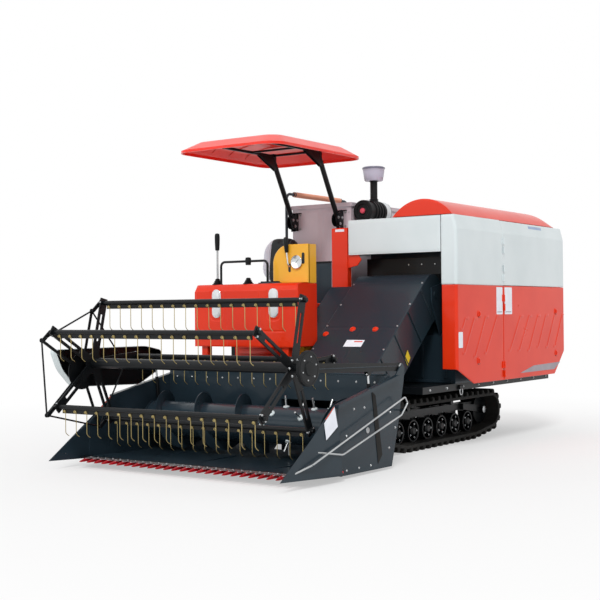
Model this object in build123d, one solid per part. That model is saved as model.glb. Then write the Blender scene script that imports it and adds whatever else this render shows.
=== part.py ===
from build123d import *
import os
from math import asin, atan2, ceil, cos, degrees, hypot, pi, radians, sin

# A crawler combine harvester in millimetres. X points to the machine's left, Y to its rear, Z up.
# While it is modelled, Y = 0 lies on the reel's axis, X = 0 on the chassis centreline and Z = 0 on the
# ground. At the end every piece moves by the same step, which puts the origin under the middle of the box.

LEFT, RIGHT = 1, -1
GAP = 0.3                      # seat clearance between pieces that meet
RUN = 6.0                      # clearance between pieces that move past each other

# Tracks
GAUGE = 1000.0                 # between the middles of the two tracks
BELT_W = 400.0
BELT_T = 28.0
LUG_H = 34.0
LUG_COUNT = 46                 # on each half of the belt's width, the halves staggered
LUG_BASE, LUG_TIP = 44.0, 30.0
SPROCKET_Y, SPROCKET_R = 1590.0, 125.0
IDLER_Y, IDLER_Z, IDLER_R = 3530.0, 240.0, 133.0
SPROCKET_Z = IDLER_Z + IDLER_R - SPROCKET_R      # keeps the belt's upper run level
ROLLER_R = 95.0
ROLLER_PITCH = 250.0
ROLLER_COUNT = 6
ROLLER_LAST_Y = 3190.0
CARRIER_R = 24.0
CARRIER_YS = (2120.0, 2900.0)
ROLLER_W, ROLLER_IN = 45.0, 60.0      # width of a roller's disc, and how far it is from the middle
BEAM_W, BEAM_H = 90.0, 60.0
GEARBOX_X = (-170.0, 80.0)
GEARBOX_REAR_Y = 1760.0

# Chassis
RAIL_X, RAIL_W = 230.0, 60.0
RAIL_Z = (430.0, 500.0)
CROSS_W = 80.0
CROSS_YS = (2065.0, 2565.0, 3065.0)
DECK_Z = (500.0, 556.0)
DECK_T = 8.0
DECK_HALF_W = 950.0
DECK_FRONT_Y, DECK_FEED_Y, DECK_REAR_Y = 1330.0, 1740.0, 4250.0
DECK_FEED_X = 70.0             # left of this the deck starts behind the feeder

TOW_Y, TOW_Z, TOW_HOLE_R = 4300.0, (440.0, 462.0), 13.0

# Threshing body
BODY_X = (60.0, 950.0)
BODY_FRONT_Y, BODY_REAR_Y = 2300.0, 4290.0
BODY_MOUTH_Y = BODY_FRONT_Y + 130.0      # the mouth lies this far behind the lower front
BODY_TOP_Z = 1700.0
DRUM_X, DRUM_Z, DRUM_R = 770.0, 1700.0, 215.0

# Covers of the body
COVER_X = 1080.0               # outer plane of the side doors
COVER_T = 10.0
COVER_FRONT_Y, COVER_SEAM_Y, COVER_REAR_Y = 2090.0, 2966.0, 4350.0
COVER_LOW_Z, COVER_CREASE_Z, COVER_TOP_Z = 556.0, 1835.0, 1950.0
COVER_LEAN = 28.0              # how far the top edge leans in
COVER_SPLIT_Z = 1380.0         # white above, red below
COVER_RETURN_X = 942.0         # inner end of the front return
COVER_ROUND = 24.0
DOOR_GAP = 8.0
HINGE_X, HINGE_R = COVER_X + 12, 6.0      # the side doors' hinge pin, outside the seam
HINGE_L = 60.0
FASCIA_X = (44.0, 934.0)
FASCIA_Z = (1652.0, 1950.0)
DOME_X = (484.0, 1040.0)
DOME_RISE = 138.0
DOME_T = 6.0
LID_R = 5.0                    # the lid's hinge pins, along its right edge
LID_X, LID_Z = DOME_X[0] - GAP - LID_R, COVER_TOP_Z + LID_R - 1
DOME_REAR_Y = 4240.0

COLUMN_X, COLUMN_Y, COLUMN_TOP_Z = (-135.0, 25.0), (2100.0, 2160.0), 1890.0

# Grain tank
TANK_X = (-790.0, -150.0)
TANK_Y = (2440.0, 3780.0)
TANK_Z = (1240.0, 2140.0)
TANK_T = 6.0
HOPPER_LOW_Z = 860.0
HOPPER_LOW_W, HOPPER_LOW_L = 260.0, 700.0
LEG_W = 50.0

# Engine and operator's place
ENGINE_X, ENGINE_Y, ENGINE_Z = (-760.0, -220.0), (1800.0, 2360.0), (570.0, 1130.0)
HOOD_X, HOOD_Y, HOOD_TOP_Z = (-950.0, -150.0), (1760.0, 2424.0), 1230.0
HOOD_T = 8.0
SCREEN_T, SCREEN_PIN_R = 34.0, 6.0
SCREEN_HINGE = (HOOD_X[0] - RUN - SCREEN_T / 2, HOOD_Y[1] + 10)
SCREEN_HINGE_ZS = (680.0, 1050.0)
FLOOR_X, FLOOR_Y, FLOOR_Z = (-1000.0, 30.0), (1262.0, 1750.0), 660.0
CONSOLE_X, CONSOLE_Y, CONSOLE_Z = (-985.0, 40.0), (1255.0, 1400.0), (880.0, 1400.0)
CONSOLE_T = 8.0
SIDE_X, SIDE_Y, SIDE_TOP_Z = (-190.0, 25.0), (1420.0, 1752.0), 1640.0
SEAT_X, SEAT_Y = -540.0, 2060.0
SEAT_W, SEAT_D, SEAT_H = 470.0, 450.0, 110.0
BACK_H, BACK_T, BACK_LEAN = 470.0, 100.0, 8.0

# Canopy
CANOPY_X, CANOPY_Y = (-1030.0, 30.0), (1050.0, 2400.0)
CANOPY_RIM_Z, CANOPY_RISE, CANOPY_T = 2530.0, 120.0, 22.0
POST_XS = (-745.0, -250.0)
POST_FOOT, POST_TOP = (2375.0, 2020.0), (2060.0, 2560.0)
POST_W, POST_D = 38.0, 58.0

# Air cleaner
CLEANER_X, CLEANER_Z, CLEANER_R, STEM_Y = -30.0, 2062.0, 92.0, 2640.0
CLEANER_AHEAD, CLEANER_BEHIND = 188.0, 160.0       # the drum's length before and behind its stem

# Cutting table
CUT_HALF_W = 1000.0            # half the cutting width
SIDE_IN_X, SIDE_T = 1042.0, 8.0
SHEET_T = 6.0
AUGER_Y, AUGER_Z, AUGER_R, AUGER_TUBE_R = 740.0, 315.0, 225.0, 140.0
AUGER_END_X = 985.0
TROUGH_GAP = 30.0
FLIGHT_PITCH = 400.0
FLIGHT_T = 8.0
KNIFE_Z = 78.0
CROP_ROD_R = 6.0
GUARD_PITCH = 76.2
GUARD_COUNT = 26
GUARD_TIP_Y = -138.0
HEAD_TOP_Z = 690.0
FEEDER_X = (100.0, 800.0)
FEEDER_HALF = 170.0            # half the feeder's depth, square to its slope
FEEDER_T = 6.0
PIVOT_Y, PIVOT_Z, PIVOT_R = 2210.0, 1300.0, 30.0

# Lift cylinders: where they start and end at rest, their stroke and their tubes
LIFT_X = 140.0
LIFT_BASE, LIFT_EYE = (1970.0, 260.0), (1520.0, 458.0)
LIFT_TUBE_R, LIFT_ROD_R, LIFT_PIN_R = 26.0, 15.0, 12.0
LIFT_TUBE_L, LIFT_ROD_L, LIFT_NECK = 380.0, 420.0, 52.0
EAR_T = 10.0
LIFT_EAR_XS = (LIFT_X - 18 - EAR_T, LIFT_X + 18)
REEL_CYL_X = 1021.0
REEL_BASE, REEL_EYE = (830.0, 430.0), (800.0, 712.0)
REEL_TUBE_R, REEL_ROD_R, REEL_PIN_R = 14.0, 8.0, 7.0
REEL_TUBE_L, REEL_ROD_L, REEL_NECK = 215.0, 250.0, 8.0
EYE_PLAY, EYE_WALL = 3.6, 5.4  # clearance of a rod's eye round its pin, and the eye's wall

# Reel
HUB_Y, HUB_Z = 0.0, 790.0
REEL_R = 470.0
BAR_COUNT = 5
BAR_PHASE = 31.3               # degrees of the first bar above straight forward
BAR_END_X, BAR_R = 972.0, 17.0
SPIDER_X, SPIDER_T = 940.0, 12.0
TINE_COUNT = 17
TINE_R = 3.5
TINE_DROP, TINE_HOOK = 215.0, 48.0
ECC_DY, ECC_DZ = -70.0, -60.0  # the eccentric spider's axis, from the hub
ARM_X = (1006.0, 1036.0)
ARM_H = 58.0
ARM_PIVOT_Y, ARM_PIVOT_Z, ARM_PIN_R = 1245.0, 744.0, 14.0
SHAFT_R = 20.0
ECC_RING = (122.0, 138.0)      # inner and outer radius of the eccentric spider's ring
SHIELD_T = 7.0

PARTS = {}
os.makedirs("parts", exist_ok=True)


def box(x, y, z):
    """A box from (low, high) pairs."""
    size = Box(x[1] - x[0], y[1] - y[0], z[1] - z[0])
    return Pos((x[0] + x[1]) / 2, (y[0] + y[1]) / 2, (z[0] + z[1]) / 2) * size


def slab_x(outline, x):
    """An outline of (y, z) points between two x values."""
    face = make_face(Plane.YZ * Polyline(*outline, close=True))
    return Pos(x[0], 0, 0) * extrude(face, amount=x[1] - x[0], dir=(1, 0, 0))


def slab_y(outline, y):
    """An outline of (x, z) points between two y values."""
    face = make_face(Plane.XZ * Polyline(*outline, close=True))
    return Pos(0, y[0], 0) * extrude(face, amount=y[1] - y[0], dir=(0, 1, 0))


def slab_z(outline, z):
    """An outline of (x, y) points between two z values."""
    face = make_face(Polyline(*outline, close=True))
    return Pos(0, 0, z[0]) * extrude(face, amount=z[1] - z[0], dir=(0, 0, 1))


def rod(start, end, radius):
    """A round bar between two points."""
    a, b = Vector(*start), Vector(*end)
    level = (Align.CENTER, Align.CENTER, Align.MIN)
    return Plane(origin=a, z_dir=b - a) * Cylinder(radius, (b - a).length, align=level)


def disc_x(y, z, radius, x):
    """A disc or shaft along X."""
    return rod((x[0], y, z), (x[1], y, z), radius)


def bent_rod(points, bend, radius):
    """A round rod along straight runs with round bends."""
    path = FilletPolyline(*points, radius=bend)
    return sweep(Plane(origin=path @ 0, z_dir=path % 0) * Circle(radius), path=path)


def flat_bar(start, end, width, x):
    """A flat bar in a YZ plane between two (y, z) points, with square ends."""
    dy, dz = end[0] - start[0], end[1] - start[1]
    length = hypot(dy, dz)
    ny, nz = -dz / length * width / 2, dy / length * width / 2
    return slab_x([(start[0] + ny, start[1] + nz), (end[0] + ny, end[1] + nz),
                   (end[0] - ny, end[1] - nz), (start[0] - ny, start[1] - nz)], x)


def fused(shapes):
    """One solid from shapes that meet."""
    first, *others = shapes
    return first.fuse(*others) if others else first


def on_side(side, low, high):
    """An x pair given for the left, put on one side of the machine."""
    return (low, high) if side == LEFT else (-high, -low)


# Undercarriage

ROLLER_Z = LUG_H + BELT_T + ROLLER_R
ROLLER_YS = [ROLLER_LAST_Y - ROLLER_PITCH * i for i in range(ROLLER_COUNT)][::-1]
BELT_IN_TOP_Z = IDLER_Z + IDLER_R
BEAM_TOP_Z = BELT_IN_TOP_Z - 2 * CARRIER_R - 6
BEAM_Z = (BEAM_TOP_Z - BEAM_H, BEAM_TOP_Z)


class BeltPath:
    """The path of the belt round its wheels: straight runs and arcs, measured along its length."""

    def __init__(self, offset):
        wheels = [(SPROCKET_Y, SPROCKET_Z, SPROCKET_R), (ROLLER_YS[0], ROLLER_Z, ROLLER_R),
                  (ROLLER_YS[-1], ROLLER_Z, ROLLER_R), (IDLER_Y, IDLER_Z, IDLER_R)]
        wheels = [(y, z, r + offset) for y, z, r in wheels]
        count = len(wheels)
        headings = []
        for i in range(count):
            (ya, za, ra), (yb, zb, rb) = wheels[i], wheels[(i + 1) % count]
            span = hypot(yb - ya, zb - za)
            headings.append(atan2(zb - za, yb - ya) + asin((ra - rb) / span))
        self.runs = []
        for i in range(count):
            (ya, za, ra), (yb, zb, rb) = wheels[i], wheels[(i + 1) % count]
            turn = headings[i] - pi / 2
            start = (ya + ra * cos(turn), za + ra * sin(turn))
            end = (yb + rb * cos(turn), zb + rb * sin(turn))
            self.runs.append(("line", start, end, turn, hypot(end[0] - start[0], end[1] - start[1])))
            sweep_angle = (headings[(i + 1) % count] - headings[i]) % (2 * pi)
            self.runs.append(("arc", (yb, zb), rb, turn, sweep_angle * rb))
        self.length = sum(run[-1] for run in self.runs)

    def at(self, distance, lift=0.0):
        """The point at a distance along the path, lifted outwards."""
        distance %= self.length
        for kind, a, b, turn, length in self.runs:
            if distance <= length:
                break
            distance -= length
        if kind == "line":
            t = distance / length
            return (a[0] + (b[0] - a[0]) * t + lift * cos(turn), a[1] + (b[1] - a[1]) * t + lift * sin(turn))
        angle = turn + distance / b
        return (a[0] + (b + lift) * cos(angle), a[1] + (b + lift) * sin(angle))

    def outline(self, arc_step):
        """Corner points of the path, each arc as short runs that touch it from outside."""
        points = []
        for kind, a, b, turn, length in self.runs:
            if kind == "line":
                points += [a, b]
            else:
                steps = max(1, ceil(length / b / arc_step))
                step = length / b / steps
                corner = b / cos(step / 2)
                points += [(a[0] + corner * cos(turn + step * (k + 0.5)),
                            a[1] + corner * sin(turn + step * (k + 0.5))) for k in range(steps)]
        return points


def track(side):
    """A rubber belt with two staggered rows of lugs."""
    inner = BeltPath(0.0).outline(radians(18))
    outer = BeltPath(BELT_T)
    pitch = outer.length / LUG_COUNT
    halves = []
    for row, (low, high) in enumerate(((-BELT_W / 2, 0.0), (0.0, BELT_W / 2))):
        points = []
        for k in range(LUG_COUNT):
            middle = (k + row / 2) * pitch
            for along, lift in ((-LUG_BASE, 0.0), (-LUG_TIP, LUG_H), (LUG_TIP, LUG_H), (LUG_BASE, 0.0)):
                points.append(outer.at(middle + along / 2, lift))
        centre = side * GAUGE / 2
        x = (centre + low, centre + high)
        halves.append(slab_x(points, x) - slab_x(inner, x))
    return fused(halves)


def track_frame(side):
    """Beam, six rollers, two carrier rollers and the rear idler of one track."""
    middle = side * GAUGE / 2
    half = BEAM_W / 2
    pieces = [box((middle - half, middle + half), (ROLLER_YS[0] - 120, IDLER_Y - 60), BEAM_Z)]
    wheel_r = ROLLER_R - GAP
    reach = ROLLER_IN + ROLLER_W
    for y in ROLLER_YS:
        pieces.append(disc_x(y, ROLLER_Z, 24, (middle - reach - 8, middle + reach + 8)))
        for end in (-1, 1):
            x = sorted((middle + end * ROLLER_IN, middle + end * reach))
            pieces.append(disc_x(y, ROLLER_Z, wheel_r, x))
            plate = sorted((middle + end * (half - 8), middle + end * half))
            pieces.append(slab_x([(y - 60, BEAM_Z[0] + 10), (y + 60, BEAM_Z[0] + 10),
                                  (y + 30, ROLLER_Z - 34), (y - 30, ROLLER_Z - 34)], plate))
    for y in CARRIER_YS:
        pieces.append(disc_x(y, BELT_IN_TOP_Z - CARRIER_R - GAP, CARRIER_R, (middle - reach, middle + reach)))
        pieces.append(box((middle - 14, middle + 14), (y - 30, y + 30), (BEAM_TOP_Z - 4, BEAM_TOP_Z + 30)))
    pieces.append(disc_x(IDLER_Y, IDLER_Z, IDLER_R - GAP, (middle - 62, middle + 62)))
    pieces.append(disc_x(IDLER_Y, IDLER_Z, 34, (middle - 110, middle + 110)))
    for end in (-1, 1):
        plate = sorted((middle + end * 66, middle + end * 78))
        pieces.append(slab_x([(IDLER_Y - 360, BEAM_Z[0] + 4), (IDLER_Y - 360, BEAM_Z[1] - 4),
                              (IDLER_Y + 40, IDLER_Z + 34), (IDLER_Y + 40, IDLER_Z - 34)], plate))
        pieces.append(box(sorted((middle + end * (half - 6), middle + end * 78)),
                          (IDLER_Y - 360, IDLER_Y - 320), (BEAM_Z[0] + 4, BEAM_Z[1] - 4)))
    return fused(pieces)


def drive_axle():
    """Gearbox between the tracks, axle tubes and a toothed sprocket at each end."""
    pieces = [slab_x([(SPROCKET_Y - 130, 190), (SPROCKET_Y + 140, 190), (GEARBOX_REAR_Y, RAIL_Z[0]),
                      (GEARBOX_REAR_Y, RAIL_Z[1]), (SPROCKET_Y - 90, RAIL_Z[1])], GEARBOX_X)]
    pieces.append(disc_x(SPROCKET_Y, SPROCKET_Z, 52, (-GAUGE / 2 - 60, GAUGE / 2 + 60)))
    teeth = 9
    root, tip = SPROCKET_R - 26, SPROCKET_R - 1.5
    for side in (LEFT, RIGHT):
        points = []
        for k in range(teeth):
            for part, radius in ((-0.32, root), (-0.14, tip), (0.14, tip), (0.32, root)):
                angle = 2 * pi * (k + part) / teeth
                points.append((SPROCKET_Y + radius * cos(angle), SPROCKET_Z + radius * sin(angle)))
        middle = side * GAUGE / 2
        pieces.append(slab_x(points, (middle - 34, middle + 34)))
        pieces.append(disc_x(SPROCKET_Y, SPROCKET_Z, 74, sorted((middle + side * 34, middle + side * 96))))
    return fused(pieces)


def chassis_frame():
    """Two rails on cross beams that reach the track beams."""
    pieces = []
    reach = GAUGE / 2 - BEAM_W / 2 - GAP
    for y in CROSS_YS:
        pieces.append(box((-reach, reach), (y - CROSS_W / 2, y + CROSS_W / 2), BEAM_Z))
        for side in (LEFT, RIGHT):
            x = on_side(side, RAIL_X - RAIL_W / 2, RAIL_X + RAIL_W / 2)
            pieces.append(box(x, (y - CROSS_W / 2, y + CROSS_W / 2), (BEAM_Z[1] - 5, RAIL_Z[0] + 5)))
    for side in (LEFT, RIGHT):
        x = on_side(side, RAIL_X - RAIL_W / 2, RAIL_X + RAIL_W / 2)
        pieces.append(box(x, (DECK_FEED_Y - 100, DECK_REAR_Y - 60), RAIL_Z))
    inner = RAIL_X - RAIL_W / 2 + 5
    for y in (GEARBOX_REAR_Y + GAP + 25, CROSS_YS[1], CROSS_YS[2] + 500, DECK_REAR_Y - 90):
        pieces.append(box((-inner, inner), (y - 25, y + 25), (RAIL_Z[0] + 8, RAIL_Z[1] - 8)))
    for x in LIFT_EAR_XS:
        y, z = LIFT_BASE
        beam_y = CROSS_YS[0] - CROSS_W / 2 + 5
        ear = [(y, z - 26), (beam_y, BEAM_Z[0] + 3), (beam_y, BEAM_Z[1] - 3), (y, z + 26)]
        pieces.append(slab_x(ear, (x, x + EAR_T)))
        pieces.append(disc_x(y, z, 30, (x, x + EAR_T)))
    pieces.append(disc_x(*LIFT_BASE, LIFT_PIN_R, (LIFT_EAR_XS[0] - 4, LIFT_EAR_XS[1] + EAR_T + 4)))
    pieces.append(box((-60, 60), (DECK_REAR_Y - 100, TOW_Y), TOW_Z))
    pieces.append(rod((0, TOW_Y, TOW_Z[0]), (0, TOW_Y, TOW_Z[1]), 60))
    return fused(pieces) - rod((0, TOW_Y, TOW_Z[0] - 1), (0, TOW_Y, TOW_Z[1] + 1), TOW_HOLE_R)


def chassis_deck():
    """Top plate over the tracks with turned down edges and ribs."""
    plate = [(-DECK_HALF_W, DECK_FRONT_Y), (DECK_FEED_X, DECK_FRONT_Y), (DECK_FEED_X, DECK_FEED_Y),
             (DECK_HALF_W, DECK_FEED_Y), (DECK_HALF_W, DECK_REAR_Y), (-DECK_HALF_W, DECK_REAR_Y)]
    pieces = [slab_z(plate, (DECK_Z[1] - DECK_T, DECK_Z[1]))]
    low = DECK_Z[0] + GAP
    for y in (DECK_FEED_Y, 2380.0, 3020.0, 3660.0, DECK_REAR_Y - 40):
        pieces.append(box((-DECK_HALF_W, DECK_HALF_W), (y, y + 40), (low, DECK_Z[1] - 2)))
    pieces.append(box((-DECK_HALF_W, DECK_FEED_X), (DECK_FRONT_Y, DECK_FRONT_Y + 40), (low, DECK_Z[1] - 2)))
    pieces.append(box((-DECK_HALF_W, -DECK_HALF_W + 40), (DECK_FRONT_Y, DECK_REAR_Y), (low, DECK_Z[1] - 2)))
    pieces.append(box((DECK_HALF_W - 40, DECK_HALF_W), (DECK_FEED_Y, DECK_REAR_Y), (low, DECK_Z[1] - 2)))
    return fused(pieces)


# Threshing body and its covers

def threshing_body():
    """Closed body with the feeder's mouth in front and the round drum housing on top."""
    low = DECK_Z[1] + GAP
    outline = [(BODY_FRONT_Y, low), (BODY_FRONT_Y, 960), (BODY_MOUTH_Y, 1060), (BODY_MOUTH_Y, BODY_TOP_Z),
               (BODY_REAR_Y - 60, BODY_TOP_Z), (BODY_REAR_Y, BODY_TOP_Z - 160), (BODY_REAR_Y, low)]
    pieces = [slab_x(outline, BODY_X)]
    pieces.append(rod((DRUM_X, BODY_MOUTH_Y, DRUM_Z), (DRUM_X, DOME_REAR_Y - 60, DRUM_Z), DRUM_R - 30))
    pieces.append(box((BODY_X[0], DOME_X[0] - 30), (BODY_MOUTH_Y, BODY_REAR_Y - 66), (BODY_TOP_Z - 5, 1920)))
    post_y = (COVER_SEAM_Y - 20, COVER_SEAM_Y + 20)
    pieces.append(box((COVER_X - COVER_T - 40, COVER_X - COVER_T - GAP), post_y, (600, COVER_CREASE_Z - 15)))
    for z in ((600, 640), (BODY_TOP_Z - 44, BODY_TOP_Z - 4)):
        pieces.append(box((BODY_X[1] - 5, COVER_X - COVER_T - 35), post_y, z))
    cheek = [(BODY_MOUTH_Y + 5, 1040), (BODY_MOUTH_Y + 5, 1420), (PIVOT_Y - 60, PIVOT_Z + 60),
             (PIVOT_Y - 60, PIVOT_Z - 60), (BODY_FRONT_Y + 5, 940)]
    body = fused(pieces)
    for x in ((BODY_X[0], BODY_X[0] + 14), (FEEDER_X[1] + RUN, FEEDER_X[1] + RUN + 14)):
        ear = slab_x(cheek, x) - disc_x(PIVOT_Y, PIVOT_Z, PIVOT_R + GAP, (x[0] - 1, x[1] + 1))
        body = body.fuse(ear)
    return body


def side_drives():
    """Pulleys and belts on the body's left wall, behind the side doors."""
    wall = BODY_X[1] + GAP
    # columns: y, z, radius
    pulleys = ((2560, 1500, 150), (3250, 1180, 110), (3980, 1240, 130), (2700, 860, 120), (3560, 800, 100))
    pieces = []
    for y, z, radius in pulleys:
        pieces.append(disc_x(y, z, radius, (wall + 22, wall + 60)) - disc_x(y, z, radius - 26, (wall + 50, wall + 61)))
        pieces.append(disc_x(y, z, 26, (wall, wall + 76)))
    links = ((0, 1), (1, 2), (3, 4), (0, 3))
    for a, b in links:
        (ya, za, ra), (yb, zb, rb) = pulleys[a], pulleys[b]
        span = hypot(yb - ya, zb - za)
        uy, uz = (yb - ya) / span, (zb - za) / span
        for sign in (-1, 1):
            start = (ya - sign * uz * (ra - 6), za + sign * uy * (ra - 6))
            end = (yb - sign * uz * (rb - 6), zb + sign * uy * (rb - 6))
            pieces.append(flat_bar(start, end, 12, (wall + 30, wall + 46)))
    return fused(pieces)


def knuckles(toward, levels):
    """Hinge knuckles of a side door at given heights, with tabs towards the door's side of the seam."""
    pieces = []
    for low in levels:
        pieces.append(rod((HINGE_X, COVER_SEAM_Y, low), (HINGE_X, COVER_SEAM_Y, low + HINGE_L), HINGE_R))
        tab_y = sorted((COVER_SEAM_Y, COVER_SEAM_Y + toward * 26))
        pieces.append(box((COVER_X - 1, HINGE_X - 2), tab_y, (low, low + HINGE_L)))
    return pieces


def door_shell(y_low, y_high):
    """The side cover's skin between two places along Y, with its leaning top band and top flange."""
    lean_x = COVER_X - COVER_LEAN
    outline = [(COVER_X, COVER_LOW_Z), (COVER_X, COVER_CREASE_Z), (lean_x, COVER_TOP_Z),
               (lean_x - 34, COVER_TOP_Z), (lean_x - 34, COVER_TOP_Z - COVER_T),
               (lean_x - COVER_T, COVER_TOP_Z - COVER_T), (COVER_X - COVER_T, COVER_CREASE_Z - 2),
               (COVER_X - COVER_T, COVER_LOW_Z)]
    return slab_y(outline, (y_low, y_high))


def front_door():
    """Front side door with its rounded return, cut off slanting at the low front corner."""
    y = (COVER_FRONT_Y, COVER_SEAM_Y - DOOR_GAP / 2)
    lean_x = COVER_X - COVER_LEAN
    back = [(COVER_RETURN_X, COVER_LOW_Z), (COVER_X, COVER_LOW_Z), (COVER_X, COVER_CREASE_Z),
            (lean_x, COVER_TOP_Z), (COVER_RETURN_X, COVER_TOP_Z)]
    door = fused([door_shell(*y), slab_y(back, (y[0], y[0] + COVER_T))])
    edge = door.edges().filter_by(Axis.Z).sort_by(lambda e: e.center().X - e.center().Y)[-1]
    door = fillet(edge, COVER_ROUND)
    cut = [(y[0] - 10, COVER_LOW_Z - 10), (y[0] + 300, COVER_LOW_Z - 10), (y[0] + 300, COVER_LOW_Z),
           (y[0] - 10, COVER_LOW_Z + 134)]
    door -= slab_x(cut, (COVER_RETURN_X - 10, COVER_X + 10))
    return door.fuse(*knuckles(-1, (660.0, 1240.0, 1420.0, 1740.0)))


def rear_door():
    """Rear side door, cut off slanting at the low rear corner, with a narrow rear flange."""
    y = (COVER_SEAM_Y + DOOR_GAP / 2, COVER_REAR_Y)
    lean_x = COVER_X - COVER_LEAN
    back = [(COVER_X - 44, COVER_LOW_Z), (COVER_X, COVER_LOW_Z), (COVER_X, COVER_CREASE_Z),
            (lean_x, COVER_TOP_Z), (lean_x - 34, COVER_TOP_Z), (COVER_X - 44, COVER_CREASE_Z)]
    door = fused([door_shell(*y), slab_y(back, (y[1] - COVER_T, y[1]))])
    cut = [(y[1] - 250, COVER_LOW_Z - 10), (y[1] + 10, COVER_LOW_Z - 10), (y[1] + 10, COVER_LOW_Z + 230),
           (y[1] - 250, COVER_LOW_Z)]
    door -= slab_x(cut, (COVER_X - 60, COVER_X + 10))
    return door.fuse(*knuckles(1, (580.0, 1160.0, 1500.0, 1660.0)))


def split_at(shape, z):
    """The parts of a shape above and below a level, GAP apart."""
    everything = (-5000.0, 5000.0)
    above = shape & box(everything, everything, (z + GAP / 2, 5000.0))
    below = shape & box(everything, everything, (-100.0, z - GAP / 2))
    return above, below


def front_fascia():
    """White front panel over the feeder's mouth, and the top panel right of the drum cover."""
    front = box(FASCIA_X, (COVER_FRONT_Y, COVER_FRONT_Y + COVER_T), FASCIA_Z)
    top = box((FASCIA_X[0], DOME_X[0] - 8), (COVER_FRONT_Y, DOME_REAR_Y), (FASCIA_Z[1] - COVER_T, FASCIA_Z[1]))
    shelf = box((DOME_X[0] - 60, FASCIA_X[1]), (COVER_FRONT_Y, COVER_FRONT_Y + 60),
                (FASCIA_Z[1] - 2 * COVER_T - 10, FASCIA_Z[1] - COVER_T - 10))
    lip = box(FASCIA_X, (COVER_FRONT_Y, COVER_FRONT_Y + 50), (FASCIA_Z[0], FASCIA_Z[0] + COVER_T))
    left = box((FASCIA_X[0], FASCIA_X[0] + COVER_T), (COVER_FRONT_Y, BODY_MOUTH_Y - GAP), FASCIA_Z)
    right = box((FASCIA_X[1] - COVER_T, FASCIA_X[1]), (COVER_FRONT_Y, BODY_MOUTH_Y - GAP),
                (FASCIA_Z[0], BODY_TOP_Z))
    stay = box((DOME_X[0] - 60, DOME_X[0] - 50), (BODY_MOUTH_Y, BODY_MOUTH_Y + 60), (1920 + GAP, FASCIA_Z[1] - 5))
    knuckles = [rod((LID_X, y, LID_Z), (LID_X, y + 120, LID_Z), LID_R) for y in (2200.0, 3100.0, 4000.0)]
    return fused([front, top, shelf, lip, left, right, stay] + knuckles)


def drum_cover():
    """Arched lid over the threshing drum, with a flat front end and a rounded rear end."""
    solids = []
    middle = (DOME_X[0] + DOME_X[1]) / 2
    for inset in (0.0, DOME_T):
        half, rise = (DOME_X[1] - DOME_X[0]) / 2 - inset, DOME_RISE - inset
        arc = Plane.XZ * ThreePointArc((middle - half, COVER_TOP_Z + RUN), (middle, COVER_TOP_Z + RUN + rise),
                                       (middle + half, COVER_TOP_Z + RUN))
        chord = Plane.XZ * Line((middle + half, COVER_TOP_Z + RUN), (middle - half, COVER_TOP_Z + RUN))
        face = make_face([arc, chord])
        y = (COVER_FRONT_Y + 4 + inset, DOME_REAR_Y - inset)
        solids.append(Pos(0, y[0], 0) * extrude(face, amount=y[1] - y[0], dir=(0, 1, 0)))
    return solids[0] - solids[1]


def front_column():
    """Red upright between the seat and the threshing body."""
    return box(COLUMN_X, COLUMN_Y, (DECK_Z[1] + GAP, COLUMN_TOP_Z))


def straw_hood():
    """Open hood behind the body that turns the straw down."""
    x = (BODY_X[0] + 20, 1000.0)
    front = BODY_REAR_Y + GAP
    outer = [(front, 1000), (front, 1540), (BODY_REAR_Y - 56, 1704), (BODY_REAR_Y - 56, 1900), (4380, 1860),
             (4450, 1600), (4450, 1000)]
    inner = [(front + 8, 990), (front + 8, 1530), (4310, 1700), (4300, 1850), (4372, 1820), (4442, 1596),
             (4442, 990)]
    return slab_x(outer, x) - slab_x(inner, (x[0] + 8, x[1] - 8))


def grain_tank():
    """Open topped tank with a hopper bottom and a rim."""
    def body(inset):
        x = (TANK_X[0] + inset, TANK_X[1] - inset)
        y = (TANK_Y[0] + inset, TANK_Y[1] - inset)
        upper = box(x, y, (TANK_Z[0], TANK_Z[1] + inset))
        mid_x, mid_y = (TANK_X[0] + TANK_X[1]) / 2, (TANK_Y[0] + TANK_Y[1]) / 2
        top = Plane.XY.offset(TANK_Z[0]) * Pos(mid_x, mid_y) * Rectangle(x[1] - x[0], y[1] - y[0])
        low = Plane.XY.offset(HOPPER_LOW_Z + inset) * Pos(mid_x, mid_y) * Rectangle(
            HOPPER_LOW_W - 2 * inset, HOPPER_LOW_L - 2 * inset)
        return fused([upper, loft([low, top], ruled=True)])
    shell = body(0.0) - body(TANK_T)
    rim = box((TANK_X[0] - 14, TANK_X[1] + 14), (TANK_Y[0] - 14, TANK_Y[1] + 14), (TANK_Z[1] - 30, TANK_Z[1]))
    rim -= box((TANK_X[0] + 1, TANK_X[1] - 1), (TANK_Y[0] + 1, TANK_Y[1] - 1), (TANK_Z[1] - 31, TANK_Z[1] + 1))
    return fused([shell, rim])


def tank_frame():
    """Four legs and two side beams that carry the tank."""
    pieces = []
    low = DECK_Z[1] + GAP
    for x in (TANK_X[0] - GAP - LEG_W, TANK_X[1] + GAP):
        for y in (TANK_Y[0] + 40, TANK_Y[1] - 40 - LEG_W):
            pieces.append(box((x, x + LEG_W), (y, y + LEG_W), (low, TANK_Z[0] + 120)))
        pieces.append(box((x, x + LEG_W), (TANK_Y[0] + 40, TANK_Y[1] - 40), (TANK_Z[0] - 20, TANK_Z[0] + 30)))
    for y in (TANK_Y[0] + 40, TANK_Y[1] - 40 - LEG_W):
        pieces.append(box((TANK_X[0] - 5, TANK_X[1] + 5), (y, y + LEG_W), (680, 730)))
    return fused(pieces)


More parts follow.
